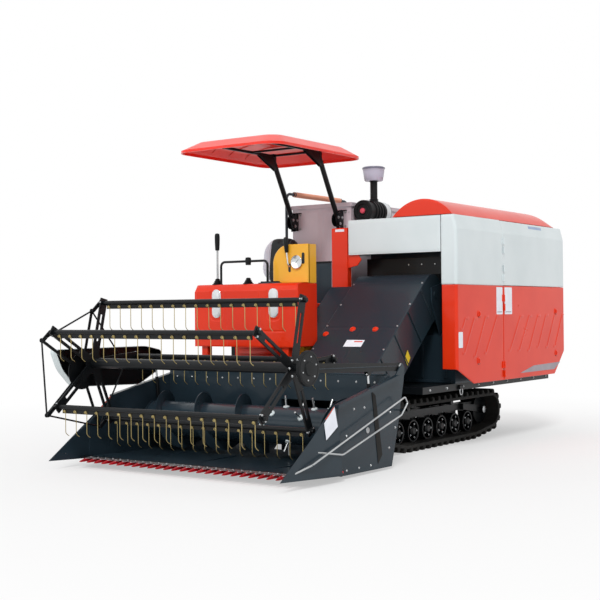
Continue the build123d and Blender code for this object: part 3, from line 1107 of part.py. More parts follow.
def end_shield():
    """Round-cornered shield pan outside the right arm, open towards it, on two brackets."""
    x = (-ARM_X[1] - 74, -ARM_X[1] - 8)
    outline = [(-290, 900), (-220, 745), (-80, 610), (620, 590), (860, 700), (900, 860), (700, 900)]
    pan = slab_x(outline, x)
    pan = fillet(pan.edges().filter_by(Axis.X), 50)
    wall = SHIELD_T
    hollow = [(-290 + 1.6 * wall, 900 - wall), (-220 + wall, 745 + 0.6 * wall), (-80 + 0.6 * wall, 610 + wall),
              (620 - 0.3 * wall, 590 + wall), (860 - wall, 700 + 0.7 * wall), (900 - 1.2 * wall, 860),
              (700 - 0.2 * wall, 900 - wall)]
    inside = slab_x(hollow, (x[0] + wall, x[1] + 1))
    pan -= fillet(inside.edges().filter_by(Axis.X), 44)
    for y in (200.0, 560.0):
        z = HUB_Z + (ARM_PIVOT_Z - HUB_Z) * y / ARM_PIVOT_Y
        pan = pan.fuse(box((x[0] + wall - 1, -ARM_X[1] - GAP), (y, y + 50), (z - 20, z + 20)))
    return pan


BUILDERS = {
    "chassis_frame": chassis_frame,
    "chassis_deck": chassis_deck,
    "track_left": lambda: track(LEFT),
    "track_right": lambda: track(RIGHT),
    "track_frame_left": lambda: track_frame(LEFT),
    "track_frame_right": lambda: track_frame(RIGHT),
    "drive_axle": drive_axle,
    "threshing_body": threshing_body,
    "side_drives": side_drives,
    "front_fascia": front_fascia,
    "front_column": front_column,
    "drum_cover": drum_cover,
    "straw_hood": straw_hood,
    "grain_tank": grain_tank,
    "tank_frame": tank_frame,
    "grain_elevator": grain_elevator,
    "engine_block": engine_block,
    "engine_cover": engine_cover,
    "screen_door": screen_door,
    "platform": platform,
    "console": console,
    "console_rail": console_rail,
    "side_console": side_console,
    "seat_cushion": seat_cushion,
    "seat_back": seat_back,
    "canopy": canopy,
    "canopy_frame": canopy_frame,
    "air_cleaner": air_cleaner,
    "precleaner": precleaner,
    "tank_handrail": tank_handrail,
    "feeder_house": feeder_house,
    "header_trough": header_trough,
    "divider_left": lambda: divider(LEFT),
    "divider_right": lambda: divider(RIGHT),
    "cutter_bar": cutter_bar,
    "knife": knife,
    "auger": auger,
    "reel": reel,
    "eccentric_spider": eccentric_spider,
    "reel_arms": reel_arms,
    "end_shield": end_shield,
    "lift_barrel": lift_barrel,
    "lift_rod": lift_rod,
    "reel_lift_barrels": reel_barrels,
    "reel_lift_rods": reel_rods,
}

for name, build in BUILDERS.items():
    PARTS[name] = build()
for k in range(BAR_COUNT):
    PARTS[f"tine_bar_{k + 1}"] = tine_bar(k)
for end, whole in (("front", front_door()), ("rear", rear_door())):
    PARTS[f"{end}_door_upper"], PARTS[f"{end}_door_lower"] = split_at(whole, COVER_SPLIT_Z)

span = Compound(children=[part.moved(Location()) for part in PARTS.values()]).bounding_box()
TO_ORIGIN = Pos(-(span.min.X + span.max.X) / 2, -(span.min.Y + span.max.Y) / 2, 0)

for name, part in PARTS.items():
    export_step(TO_ORIGIN * part, f"parts/{name}.step")
print("shift", TO_ORIGIN.position, "size", span.size, "low", span.min.Z)
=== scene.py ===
"""Looks of a crawler combine harvester, dressed round its construction model."""

import logging
import math
from collections.abc import Sequence
from dataclasses import dataclass
from enum import Enum

import bmesh
import bpy
import numpy as np
from mathutils import Matrix


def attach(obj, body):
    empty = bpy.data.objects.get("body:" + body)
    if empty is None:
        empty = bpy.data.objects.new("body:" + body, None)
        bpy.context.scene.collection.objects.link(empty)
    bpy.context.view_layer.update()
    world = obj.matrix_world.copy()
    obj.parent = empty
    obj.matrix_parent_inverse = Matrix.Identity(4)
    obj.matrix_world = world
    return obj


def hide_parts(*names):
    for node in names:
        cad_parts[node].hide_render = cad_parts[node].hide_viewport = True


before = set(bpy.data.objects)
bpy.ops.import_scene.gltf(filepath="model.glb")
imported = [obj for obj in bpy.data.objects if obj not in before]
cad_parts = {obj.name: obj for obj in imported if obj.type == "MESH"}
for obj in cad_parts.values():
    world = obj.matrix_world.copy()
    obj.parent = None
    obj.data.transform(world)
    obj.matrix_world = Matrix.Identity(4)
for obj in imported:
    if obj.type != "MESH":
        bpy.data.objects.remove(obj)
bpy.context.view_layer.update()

LOG = logging.getLogger("harvester")
Grid = np.ndarray
Shell = tuple[np.ndarray, list[np.ndarray]]
Pair = tuple[float, float]
Tree, Socket = bpy.types.NodeTree, bpy.types.NodeSocket

# Lengths are millimetres from the machine's datum: X to its left from the chassis centreline, Y to
# its rear from the reel's axis, Z up from the ground. TO_FRAME is the step to the shared frame.
TO_FRAME = np.array([14.0, -1981.2, 0.0])
LEFT, RIGHT = 1, -1
ALONG_X, ALONG_Y, ALONG_Z = (1, 0, 0), (0, 1, 0), (0, 0, 1)
FORWARD = (0, -1, 0)
DEFAULT_BEVEL = 1.5
# Points closer than this, in metres, are one point.
WELD = 2e-6


class Body(Enum):
    """The moving bodies of the machine that a piece can ride on."""

    MACHINE = "machine"
    SCREEN = "radiator_screen"
    LID = "drum_lid"
    FRONT_DOOR = "front_side_door"
    REAR_DOOR = "rear_side_door"
    TABLE = "table"
    AUGER = "auger"
    CARRIER = "reel_carrier"
    REEL = "reel"
    ECCENTRIC = "eccentric"


class Axis(Enum):
    """The direction a prism is carried along; its outline is in the other two, in X, Y, Z order."""

    X = 0
    Y = 1
    Z = 2


# Finishes

def linear(colour: str) -> tuple[float, float, float, float]:
    """Turns an sRGB hex colour into the linear values that a shader takes.

    Args:
        colour: the colour as "#rrggbb".

    Returns:
        Red, green, blue and alpha.
    """
    srgb = np.array([int(colour[i:i + 2], 16) for i in (1, 3, 5)]) / 255
    value = np.where(srgb <= 0.04045, srgb / 12.92, ((srgb + 0.055) / 1.055) ** 2.4)
    return (*value.tolist(), 1.0)


def plug(tree: Tree, node: bpy.types.Node, sockets: dict) -> bpy.types.Node:
    """Feeds a node's inputs, by name or number, with values or with the sockets of other nodes."""
    for key, value in sockets.items():
        if isinstance(value, Socket):
            tree.links.new(value, node.inputs[key])
        else:
            node.inputs[key].default_value = value
    return node


def add(tree: Tree, kind: str, sockets: dict, **settings) -> bpy.types.Node:
    """Adds one shader node.

    Args:
        tree: the node tree.
        kind: the node's kind, without its ShaderNode prefix.
        sockets: input name or number to a value, or to the output socket that feeds it.
        settings: the node's own properties.

    Returns:
        The new node.
    """
    node = tree.nodes.new("ShaderNode" + kind)
    for key, value in settings.items():
        setattr(node, key, value)
    return plug(tree, node, sockets)


def noise(tree: Tree, where: Socket, size_mm: float, detail: float) -> Socket:
    """Noise whose clouds are size_mm across."""
    return add(tree, "TexNoise", {"Vector": where, "Scale": 1000 / size_mm,
                                  "Detail": detail}).outputs[0]


def blend(tree: Tree, share: Socket, low: Socket | tuple, high: Socket | tuple) -> Socket:
    """A colour between two, by a share from 0 to 1."""
    return add(tree, "Mix", {0: share, 6: low, 7: high}, data_type="RGBA").outputs[2]


def remap(tree: Tree, value: Socket, low: float, high: float, to: Pair = (0.0, 1.0)) -> Socket:
    """Carries a value between low and high over to another pair of limits."""
    return add(tree, "MapRange", {"Value": value, "From Min": low, "From Max": high,
                                  "To Min": to[0], "To Max": to[1]}).outputs[0]


def bump(tree: Tree, height: Socket, strength: float, depth: float) -> Socket:
    """The normal of a relief, its depth in metres."""
    return add(tree, "Bump", {"Height": height, "Strength": strength,
                              "Distance": depth}).outputs[0]


@dataclass(frozen=True)
class Finish:
    """A finish with cloudy tone, changing gloss and a fine surface relief.

    The tone moves from colour to shade in soft clouds, and roughness moves with it by spread.
    """

    name: str
    colour: str
    shade: str
    roughness: float
    spread: float = 0.06
    metallic: float = 0.0
    coat: float = 0.0
    cloud_mm: float = 380.0
    relief_mm: float = 5.0
    relief: float = 0.05
    mirror: float = 0.3

    def material(self) -> bpy.types.Material:
        """Returns the material, made on first use."""
        return bpy.data.materials.get(self.name) or self._make()

    def _make(self) -> bpy.types.Material:
        """Builds the nodes that every finish shares and feeds them with the finish's own."""
        made = bpy.data.materials.new(self.name)
        made.use_nodes = True
        made.diffuse_color = linear(self.colour)
        tree = made.node_tree
        where = add(tree, "TexCoord", {}).outputs["Object"]
        cloud = noise(tree, where, self.cloud_mm, 5.0)
        base = blend(tree, remap(tree, cloud, 0.35, 0.65), linear(self.colour), linear(self.shade))
        half = self.spread / 2
        gloss = remap(tree, cloud, 0.3, 0.7, (self.roughness - half, self.roughness + half))
        plug(tree, tree.nodes["Principled BSDF"], {
            "Base Color": self._mark(tree, where, base), "Roughness": gloss,
            "Normal": self._relief(tree, where), "Metallic": self.metallic,
            "Coat Weight": self.coat, "Coat Roughness": 0.06, **self._own()})
        return made

    def _mark(self, tree: Tree, where: Socket, colour: Socket) -> Socket:
        """Returns the colour as it is; finishes with a pattern of their own change it."""
        return colour

    def _relief(self, tree: Tree, where: Socket) -> Socket:
        """Returns the bump of a fine even grain."""
        grain = noise(tree, where, self.relief_mm, 2.0)
        return bump(tree, grain, self.relief, self.relief_mm / 4000)

    def _own(self) -> dict:
        """Shader inputs of this finish alone: metal keeps the default mirror of its shader."""
        return {} if self.metallic else {"Specular IOR Level": self.mirror}


@dataclass(frozen=True)
class Dusty(Finish):
    """A finish with field dust on it, thicker towards the ground."""

    dust: float = 0.08

    def _mark(self, tree: Tree, where: Socket, colour: Socket) -> Socket:
        """Lays the dust over the colour in clouds, from none at 1.1 m up to most on the ground."""
        height = add(tree, "SeparateXYZ", {0: where}).outputs[2]
        low = remap(tree, height, 1.1, 0.0, (0.0, self.dust))
        cloud = noise(tree, where, self.cloud_mm, 5.0)
        share = add(tree, "Math", {0: low, 1: cloud}, operation="MULTIPLY").outputs[0]
        return blend(tree, share, colour, linear("#8d8577"))


@dataclass(frozen=True)
class Grained(Finish):
    """Leather-grained vinyl: small rounded cells with creases between them."""

    def _relief(self, tree: Tree, where: Socket) -> Socket:
        """Returns the bump of a cell pattern, cells relief_mm across."""
        cell = add(tree, "TexVoronoi", {"Vector": where, "Scale": 1000 / self.relief_mm},
                   feature="DISTANCE_TO_EDGE")
        return bump(tree, remap(tree, cell.outputs[0], 0.0, 0.18), self.relief, 0.0006)


@dataclass(frozen=True)
class Drawn(Finish):
    """Drawn or rolled metal: faint long streaks along X."""

    def _relief(self, tree: Tree, where: Socket) -> Socket:
        """Returns the bump of noise stretched thirty times along X."""
        along = add(tree, "Mapping", {"Vector": where, "Scale": (1 / 30, 1.0, 1.0)}).outputs[0]
        return bump(tree, noise(tree, along, self.relief_mm, 2.0), self.relief, 0.0003)


@dataclass(frozen=True)
class Punched(Finish):
    """Punched screen: rows of round holes relief_mm apart, the holes painted near black as shade
    seen through them.
    """

    def _holes(self, tree: Tree, where: Socket) -> Socket:
        """Returns 0 inside the holes and 1 on the sheet, from the distance to a grid's points."""
        cell = add(tree, "TexVoronoi", {"Vector": where, "Scale": 1000 / self.relief_mm,
                                        "Randomness": 0.0})
        return remap(tree, cell.outputs["Distance"], 0.3, 0.38)

    def _mark(self, tree: Tree, where: Socket, colour: Socket) -> Socket:
        """Paints the holes near black: painted shade for the dark seen through them."""
        return blend(tree, self._holes(tree, where), linear("#060707"), colour)

    def _relief(self, tree: Tree, where: Socket) -> Socket:
        """Returns the bump that sinks the holes."""
        return bump(tree, self._holes(tree, where), 0.5, 0.002)


@dataclass(frozen=True)
class Clear(Finish):
    """Clear or smoked plastic that lets part of the light through."""

    through: float = 0.6

    def _own(self) -> dict:
        """Adds the transmission and the index of polycarbonate."""
        return super()._own() | {"Transmission Weight": self.through, "IOR": 1.58}


@dataclass(frozen=True)
class Milky(Finish):
    """Milky plastic sheet that glows where light falls on its other side, its red the furthest."""

    glow: float = 0.75
    depth_mm: float = 24.0

    def _own(self) -> dict:
        """Adds the light that scatters through the sheet."""
        return super()._own() | {"Subsurface Weight": self.glow,
                                 "Subsurface Scale": self.depth_mm / 1000,
                                 "Subsurface Radius": (1.0, 0.35, 0.3)}


# Baked enamel on pressed sheet: even colour, a clear gloss and a faint orange peel of about 5 mm.
RED = Finish("baked_enamel_red", "#e2330e", "#da2d0c", 0.3, coat=0.24, relief=0.035, mirror=0.2)
WHITE = Finish("baked_enamel_white", "#d6dfe1", "#ced8da", 0.32, coat=0.4, relief=0.035,
               mirror=0.5)
SLATE = Finish("baked_enamel_slate", "#26343d", "#222f38", 0.3, coat=0.14, mirror=0.22)
# Feeder enamel: dark slate whose broad clouds towards a warmer shade are partly random tone and
# partly painted reflection of the red parts beside it.
FEEDER_WITH_REFLECTION = Finish("baked_enamel_feeder_painted_reflection", "#22323a", "#2b3038", 0.3, coat=0.14, cloud_mm=600,
                mirror=0.22)
BLACK = Finish("baked_enamel_black", "#101316", "#0d0f11", 0.36, coat=0.06, relief=0.06,
               mirror=0.2)
YELLOW = Finish("baked_enamel_yellow", "#f0b236", "#e9a92e", 0.34, coat=0.25, relief=0.04)
# Tank enamel: white sheet with a pink cast; the cast is painted reflection of the red parts around
# it.
TANK = Finish("baked_enamel_tank_painted_pink_reflection", "#ddd2d8", "#d0c5cd", 0.38, coat=0.2, relief=0.04)
GREY = Finish("baked_enamel_grey", "#39444c", "#323c44", 0.36, coat=0.12, mirror=0.22)
GUARD = Finish("dipped_enamel_dark_red", "#b01420", "#9c101b", 0.34, coat=0.2, relief_mm=7,
               relief=0.1)
# Vacuum-formed ABS roof: slightly milky red with a soft sheen and no metal edge.
ROOF = Milky("formed_abs_coral", "#f03c2e", "#e83628", 0.3, coat=0.2, relief_mm=9, relief=0.03,
             mirror=0.2)
# Moulded polypropylene: a dull sheen and a fine pebble texture.
PLASTIC = Finish("moulded_polypropylene_black", "#111315", "#0e1011", 0.44, relief_mm=3,
                 relief=0.12, mirror=0.2)
# Foam, knob, bowl, cap and lamp: soft open grain on the foam, smooth gloss on the moulded pieces.
SLEEVE = Finish("closed_cell_foam_salmon", "#f0a98c", "#e89f82", 0.72, relief_mm=4, relief=0.25)
KNOB = Finish("moulded_abs_pink_red", "#e2566a", "#d94c60", 0.36, relief_mm=4)
SMOKED = Clear("blown_polycarbonate_milky", "#d6d3e6", "#c9c6dc", 0.2, through=0.35,
               relief_mm=12, relief=0.03)
CAP = Finish("moulded_abs_smoke", "#6f6e80", "#666577", 0.34, coat=0.2)
LENS = Clear("lamp_lens_clear", "#f4f6f8", "#eceff2", 0.12, through=0.25, coat=0.6,
             relief_mm=14, relief=0.12)
# Track rubber: matt, with a coarse moulded skin and dry dust in it.
RUBBER = Dusty("vulcanised_rubber", "#151617", "#1b1b1c", 0.7, spread=0.14, relief_mm=8,
               relief=0.4, mirror=0.2)
# Seat vinyl: leather grain of about 4 mm, deep enough to break up the sheen.
# Pale vinyl: a painted highlight, the sheen of the black vinyl on the seat back's right bolster.
SHEEN_VINYL = Grained("leather_grain_vinyl_painted_sheen", "#dedfe9", "#d6d7e2", 0.5, relief_mm=4,
                     relief=0.3)
VINYL = Grained("leather_grain_vinyl", "#15181c", "#111417", 0.46, relief_mm=4, relief=0.35)
# Steels: zinc plate shows grey with a soft gloss, passivated spring wire a warm gold, chrome a
# mirror.
ZINC = Drawn("zinc_plated_steel", "#c9cbcc", "#b5b8ba", 0.36, metallic=1.0, relief_mm=3,
             relief=0.1)
SPRING = Drawn("passivated_spring_steel", "#b7a672", "#a39260", 0.34, metallic=0.7, relief_mm=3,
               relief=0.1)
CHROME = Drawn("hard_chrome", "#dfe2e4", "#d4d8da", 0.12, spread=0.04, metallic=1.0, relief_mm=2,
               relief=0.03)
IRON = Finish("cast_iron_painted", "#262b2f", "#1f2427", 0.6, relief_mm=4, relief=0.4, mirror=0.2)
SCREEN = Punched("punched_screen_black", "#2a2d30", "#242729", 0.5, relief_mm=14)
# Printed vinyl films: satin and even.
PAPER = Finish("label_film_white", "#eceff6", "#e4e7ef", 0.42, cloud_mm=60, relief_mm=20)
# Black film: print on the dial, and painted shade in the side console's two slots.
INK_AND_SLOT_SHADE = Finish("label_film_black_print_and_slot_shade", "#22252a", "#1c1f23", 0.45, cloud_mm=60, relief_mm=20)
SKY = Finish("label_film_pale_blue", "#9fb2d0", "#95a8c8", 0.42, cloud_mm=60, relief_mm=20)
GOLD = Finish("label_film_yellow", "#d9c030", "#d0b62a", 0.42, cloud_mm=60, relief_mm=20)
STRIPE = Finish("label_film_grey", "#a39aa2", "#9a9199", 0.42, cloud_mm=120, relief_mm=20)
# Reflector: glossy plastic over a coarse prism pattern.
AMBER = Finish("reflector_orange_red", "#e8471c", "#e04018", 0.25, coat=0.6, relief_mm=6,
               relief=0.3)

SLOT_FINISH = {
    "red_paint": RED, "white_paint": WHITE, "slate_paint": SLATE, "black_paint": BLACK,
    "grey_paint": GREY, "yellow_paint": YELLOW, "canopy_plastic": ROOF, "track_rubber": RUBBER,
    "seat_vinyl": VINYL, "black_plastic": PLASTIC, "bowl_plastic": SMOKED, "bright_steel": ZINC,
    "chrome_rod": CHROME, "reel_steel": BLACK, "cast_grey": IRON,
}
NODE_FINISH = {
    "cutter_bar": GUARD, "feeder_house": FEEDER_WITH_REFLECTION, "grain_tank": TANK, "end_shield": BLACK,
    "threshing_body": SLATE, "engine_cover": RED, "grain_elevator": TANK,
}


# Surfaces

def unit(vectors: Grid) -> Grid:
    """Scales each vector along the last axis to length 1."""
    return vectors / np.maximum(np.linalg.norm(vectors, axis=-1, keepdims=True), 1e-12)


def xyz(*parts: Grid | float) -> Grid:
    """Joins coordinates, which broadcast against each other, into points on a new last axis."""
    return np.stack(np.broadcast_arrays(*parts), -1)


def circle(count: int, start: float = 0.0) -> Grid:
    """Even angles once round, in radians."""
    return start + np.linspace(0, 2 * math.pi, count, endpoint=False)


def round_x(x: float, middle: Sequence, radius: float, turn: Grid) -> Grid:
    """Points at given angles on a circle about an axis along X."""
    return xyz(x, middle[0] + radius * np.cos(turn), middle[1] + radius * np.sin(turn))


def travelled(path: Grid) -> Grid:
    """How far along a path each of its points lies."""
    return np.append(0, np.cumsum(np.linalg.norm(np.diff(path, axis=0), axis=-1)))


def quads(rows: int, cols: int, wrap_rows: bool, wrap_cols: bool) -> Grid:
    """Numbers the four corners of every cell of a grid of points.

    Args:
        rows: points along the first parameter.
        cols: points along the second parameter.
        wrap_rows: whether the last row joins the first.
        wrap_cols: whether the last column joins the first.

    Returns:
        An array of corner numbers, four to a row.
    """
    i, j = np.meshgrid(np.arange(rows if wrap_rows else rows - 1),
                       np.arange(cols if wrap_cols else cols - 1), indexing="ij")
    down, along = (i + 1) % rows, (j + 1) % cols
    corners = (i * cols + j, i * cols + along, down * cols + along, down * cols + j)
    return np.stack(corners, -1).reshape(-1, 4)


def loft(rings: Grid) -> Shell:
    """Skins a row of closed rings and shuts both ends with a flat face.

    Args:
        rings: points as (ring, point on the ring, coordinate).

    Returns:
        The closed shell.
    """
    rows, cols = rings.shape[:2]
    ends = [np.arange(cols)[None, ::-1], (np.arange(cols) + (rows - 1) * cols)[None]]
    return rings.reshape(-1, 3), [quads(rows, cols, False, True), *ends]


def ring(grid: Grid) -> Shell:
    """A surface closed in both directions, such as a belt or a bent hoop."""
    rows, cols = grid.shape[:2]
    return grid.reshape(-1, 3), [quads(rows, cols, True, True)]


def hoop(path: Grid, radius: float, across: Sequence, sides: int) -> Shell:
    """A round bar on a closed path: circles in the plane of across and the way out from its
    middle."""
    turn = circle(sides)[:, None]
    out = unit(path - path.mean(0))[:, None]
    return ring(path[:, None] + radius * (np.cos(turn) * out + np.sin(turn) * np.array(across)))


def sheet(grid: Grid, thickness: float) -> Shell:
    """Gives a surface a thickness: the same grid again, moved back along its normals, and a rim.

    The normal at a point is the cross product of the differences along the grid's parameters.

    Args:
        grid: points as (row, column, coordinate).
        thickness: how thick the sheet is, negative to grow the other way.

    Returns:
        The closed shell.
    """
    rows, cols = grid.shape[:2]
    normal = unit(np.cross(np.gradient(grid, axis=0), np.gradient(grid, axis=1)))
    points = np.concatenate([grid.reshape(-1, 3), (grid - normal * thickness).reshape(-1, 3)])
    number = np.arange(rows * cols).reshape(rows, cols)
    rim = np.concatenate([number[0, :-1], number[:-1, -1], number[-1, :0:-1], number[:0:-1, 0]])
    ahead = np.roll(rim, -1)
    face = quads(rows, cols, False, False)
    back = face[:, ::-1] + rows * cols
    return points, [face, back, np.stack([rim, rim + rows * cols, ahead + rows * cols, ahead], -1)]


def prism(outline: Sequence, low: float, high: float, axis: Axis,
          bevel: float = DEFAULT_BEVEL) -> Shell:
    """Carries a flat outline along an axis, with its two rims bevelled.

    The outline moves inwards by the bevel at both ends; each corner moves along the mean of its
    two edges' normals, divided by one plus their product, which keeps every edge parallel.

    Args:
        outline: points in the two other axes.
        low: where the prism starts.
        high: where it ends.
        axis: the axis it is carried along.
        bevel: width of the bevelled rims.

    Returns:
        The closed shell.
    """
    flat = np.asarray(outline, float)
    ahead = np.roll(flat, -1, 0)
    if np.sum(flat[:, 0] * ahead[:, 1] - ahead[:, 0] * flat[:, 1]) <= 0:
        flat = flat[::-1]
    edge = unit(np.roll(flat, -1, 0) - flat)
    inward = np.stack([-edge[:, 1], edge[:, 0]], -1)
    before = np.roll(inward, 1, 0)
    share = np.maximum(1 + np.sum(inward * before, -1, keepdims=True), 0.35)
    small = flat + (inward + before) / share * bevel
    levels = ((small, low), (flat, low + bevel), (flat, high - bevel), (small, high))
    return loft(np.stack([np.insert(shape, axis.value, at, axis=1) for shape, at in levels]))


def slab(x: Sequence, y: Sequence, z: Sequence, bevel: float = DEFAULT_BEVEL) -> Shell:
    """A bevelled block between (low, high) pairs."""
    outline = [(x[0], y[0]), (x[1], y[0]), (x[1], y[1]), (x[0], y[1])]
    return prism(outline, z[0], z[1], Axis.Z, bevel)


def rounded_outline(middle: Sequence, width: float, height: float, radius: float,
                    steps: int = 6) -> Grid:
    """A rectangle with round corners: a quarter circle about each corner's centre."""
    quarter = np.arange(4)[:, None] * math.pi / 2 + np.linspace(0, math.pi / 2, steps)
    sx = np.array([1, -1, -1, 1])[:, None] * (width / 2 - radius)
    sy = np.array([1, 1, -1, -1])[:, None] * (height / 2 - radius)
    return xyz(sx + radius * np.cos(quarter),
               sy + radius * np.sin(quarter)).reshape(-1, 2) + np.asarray(middle)


def rounded(middle: Sequence, size: Sequence, radius: float, span: Sequence, axis: Axis,
            bevel: float) -> Shell:
    """A flat plate with round corners, between the two places of a span along an axis."""
    return prism(rounded_outline(middle, *size, radius), *span, axis, bevel)


def plate(corners: Sequence, thick: float) -> Shell:
    """A thin plate on four corners: the two pairs of edges joined, a thickness behind it."""
    a, b, c, d = (np.asarray(corner, float) for corner in corners)
    return sheet(np.stack([np.stack([a, b]), np.stack([d, c])]), thick)


def lathe(profile: Sequence, start: Sequence, axis: Sequence, sides: int = 28) -> Shell:
    """Turns a profile about an axis.

    Args:
        profile: (distance along the axis, radius) points, from one end to the other.
        start: the point that distances are measured from.
        axis: direction of the axis.
        sides: points round the circle.

    Returns:
        The closed shell.
    """
    shape = np.asarray(profile, float)
    along = unit(np.asarray(axis, float))
    across = unit(np.cross(along, ALONG_Z if abs(along[2]) < 0.9 else ALONG_Y))
    turn = circle(sides)[:, None]
    spoke = np.cos(turn) * across + np.sin(turn) * np.cross(along, across)
    radius = np.maximum(shape[:, 1], 0.05)
    return loft(np.asarray(start, float) + shape[:, 0, None, None] * along
                + radius[:, None, None] * spoke)


def tube(path: Grid, radius: float, sides: int = 10, flat: float = 1.0, rim: float = 0.0) -> Shell:
    """Carries a circle along a path.

    The ring's first direction is the one in which the path strays least, made square to the path
    at each point, and its second is the cross product of the two.

    Args:
        path: points along the middle.
        radius: the tube's radius.
        sides: points round the ring.
        flat: the ring's size in its first direction, as a share of the radius.
        rim: how far the two ends are drawn in, for a rounded end.

    Returns:
        The closed shell.
    """
    path = np.asarray(path, float)
    along = unit(np.gradient(path, axis=0))
    steady = np.linalg.svd(path - path.mean(0))[2][2]
    first = unit(steady - np.sum(along * steady, -1, keepdims=True) * along)
    second = np.cross(along, first)
    turn = circle(sides)[None, :, None]
    size = np.full(len(path), float(radius))
    size[[0, -1]] -= rim
    ringed = flat * np.cos(turn) * first[:, None] + np.sin(turn) * second[:, None]
    return loft(path[:, None] + size[:, None, None] * ringed)


def bent(points: Sequence, bend: float, steps: int = 7) -> Grid:
    """A path of straight runs with a smooth curve at each corner.

    Each corner is a quadratic curve from bend before it to bend after it, drawn towards it.

    Args:
        points: the corners, three or more.
        bend: how far from a corner its curve starts.
        steps: points on each curve.

    Returns:
        Points along the path.
    """
    spots = np.asarray(points, float)
    corner = spots[1:-1, None]
    before = corner + unit(spots[:-2, None] - corner) * bend
    after = corner + unit(spots[2:, None] - corner) * bend
    t = np.linspace(0, 1, steps)[:, None]
    curve = (1 - t) ** 2 * before + 2 * t * (1 - t) * corner + t ** 2 * after
    return np.concatenate([spots[:1], curve.reshape(-1, 3), spots[-1:]])


def fine(low: float, high: float, count: int, curl: float) -> Grid:
    """Places between two limits: even ones, and closer ones within a curl of both ends."""
    near = np.array([0.0, 0.12, 0.32, 0.62, 1.0]) * curl
    even = np.linspace(low + curl, high - curl, count)[1:-1]
    return np.concatenate([low + near, even, high - near[::-1]])


def curled(distance: Grid, radius: float) -> Grid:
    """How far a rounded sheet edge drops back at a distance from its rim: a quarter circle."""
    rest = np.clip(radius - distance, 0, radius)
    return radius - np.sqrt(radius ** 2 - rest ** 2)


def near_line(y: Grid, z: Grid, start: Sequence, end: Sequence) -> Grid:
    """Distance of every point from a straight stretch in the Y-Z plane."""
    a, run = np.asarray(start, float), np.subtract(end, start).astype(float)
    point = xyz(y, z) - a
    share = np.clip(point @ run / (run @ run), 0, 1)
    return np.linalg.norm(point - share[..., None] * run, axis=-1)


def step_up(value: Grid) -> Grid:
    """A smooth rise from 0 to 1: 3v^2 - 2v^3 of the value held between 0 and 1."""
    v = np.clip(value, 0, 1)
    return v * v * (3 - 2 * v)


def bolt(size: float) -> Shell:
    """A hexagon head on a washer, pointing along Z: six sides, size across its flats."""
    shares = ((0, 0.95), (0.16, 0.95), (0.18, 0.56), (0.62, 0.56), (0.74, 0.44))
    return lathe(np.multiply(shares, size), (0, 0, 0), ALONG_Z, 6)


def places(points: Sequence, facing: Sequence) -> Grid:
    """Matrices that stand a small shape, made along Z, on points so that it faces a direction."""
    spots = np.asarray(points, float).reshape(-1, 3)
    up = unit(np.asarray(facing, float))
    side = unit(np.cross(up, ALONG_Z if abs(up[2]) < 0.9 else ALONG_X))
    made = np.tile(np.eye(4), (len(spots), 1, 1))
    made[:, :3, 0], made[:, :3, 1], made[:, :3, 2] = side, np.cross(up, side), up
    made[:, :3, 3] = spots
    return made


class Mould:
    """Collects the closed shells of one piece and casts them as one mesh."""

    def __init__(self, *finishes: Finish) -> None:
        """Starts an empty piece with the finishes its shells choose from by number."""
        self.finishes = finishes
        self.points: list[np.ndarray] = []
        self.faces: list[list[int]] = []
        self.index: list[int] = []
        self.count = 0

    def put(self, shell: Shell, finish: int = 0) -> "Mould":
        """Adds one shell with the finish of that number and returns the mould itself."""
        points, faces = shell
        for group in faces:
            self.faces += (group + self.count).tolist()
            self.index += [finish] * len(group)
        self.points.append(points)
        self.count += len(points)
        return self

    def blocks(self, *rows: Sequence, finish: int = 0) -> "Mould":
        """Adds bevelled blocks, each from its x, y and z limits and its bevel."""
        for x, y, z, bevel in rows:
            self.put(slab(x, y, z, bevel), finish)
        return self

    def repeat(self, shell: Shell, matrices: Grid, finish: int = 0) -> "Mould":
        """Adds a shell once for every matrix, all points worked out at once."""
        points, faces = shell
        moved = np.einsum("mij,nj->mni", matrices[:, :3, :3], points) + matrices[:, None, :3, 3]
        step = (np.arange(len(matrices)) * len(points))[:, None, None]
        groups = [(group[None] + step).reshape(-1, group.shape[1]) for group in faces]
        return self.put((moved.reshape(-1, 3), groups), finish)

    def copies(self, shell: Shell, spots: Grid, finish: int = 0) -> "Mould":
        """Adds a shell, unturned, on each of some points."""
        made = np.tile(np.eye(4), (len(spots), 1, 1))
        made[:, :3, 3] = spots
        return self.repeat(shell, made, finish)

    def bolts(self, size: float, spots: Sequence, facing: Sequence, finish: int = 1) -> "Mould":
        """Adds a bolt's head on each of some points, looking the way they face."""
        return self.repeat(bolt(size), places(spots, facing), finish)

    def cast(self, name: str, body: Body | str, slot: str, replaces: Sequence[str] = (),
             sharp: float = 32.0) -> bpy.types.Object:
        """Makes the mesh and hangs it on its body.

        Args:
            name: the piece's name.
            body: what it moves with.
            slot: the record's material slot; not used.
            replaces: construction nodes it stands for.
            sharp: edges that turn by more degrees than this stay crisp.

        Returns:
            The finished piece.
        """
        mesh = bpy.data.meshes.new(name)
        points = (np.concatenate(self.points) + TO_FRAME) / 1000
        mesh.from_pydata(points.tolist(), [], self.faces)
        mesh.polygons.foreach_set("material_index", np.array(self.index, np.int32))
        work = bmesh.new()
        work.from_mesh(mesh)
        bmesh.ops.remove_doubles(work, verts=work.verts, dist=WELD)
        bmesh.ops.recalc_face_normals(work, faces=work.faces)
        work.to_mesh(mesh)
        work.free()
        mesh.shade_smooth()
        mesh.set_sharp_from_angle(angle=math.radians(sharp))
        for finish in self.finishes:
            mesh.materials.append(finish.material())
        piece = bpy.data.objects.new(name, mesh)
        bpy.context.scene.collection.objects.link(piece)
        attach(piece, body.value if isinstance(body, Body) else body)
        if replaces:
            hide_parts(*replaces)
        LOG.info("%s: %d faces", name, len(mesh.polygons))
        return piece


# Undercarriage

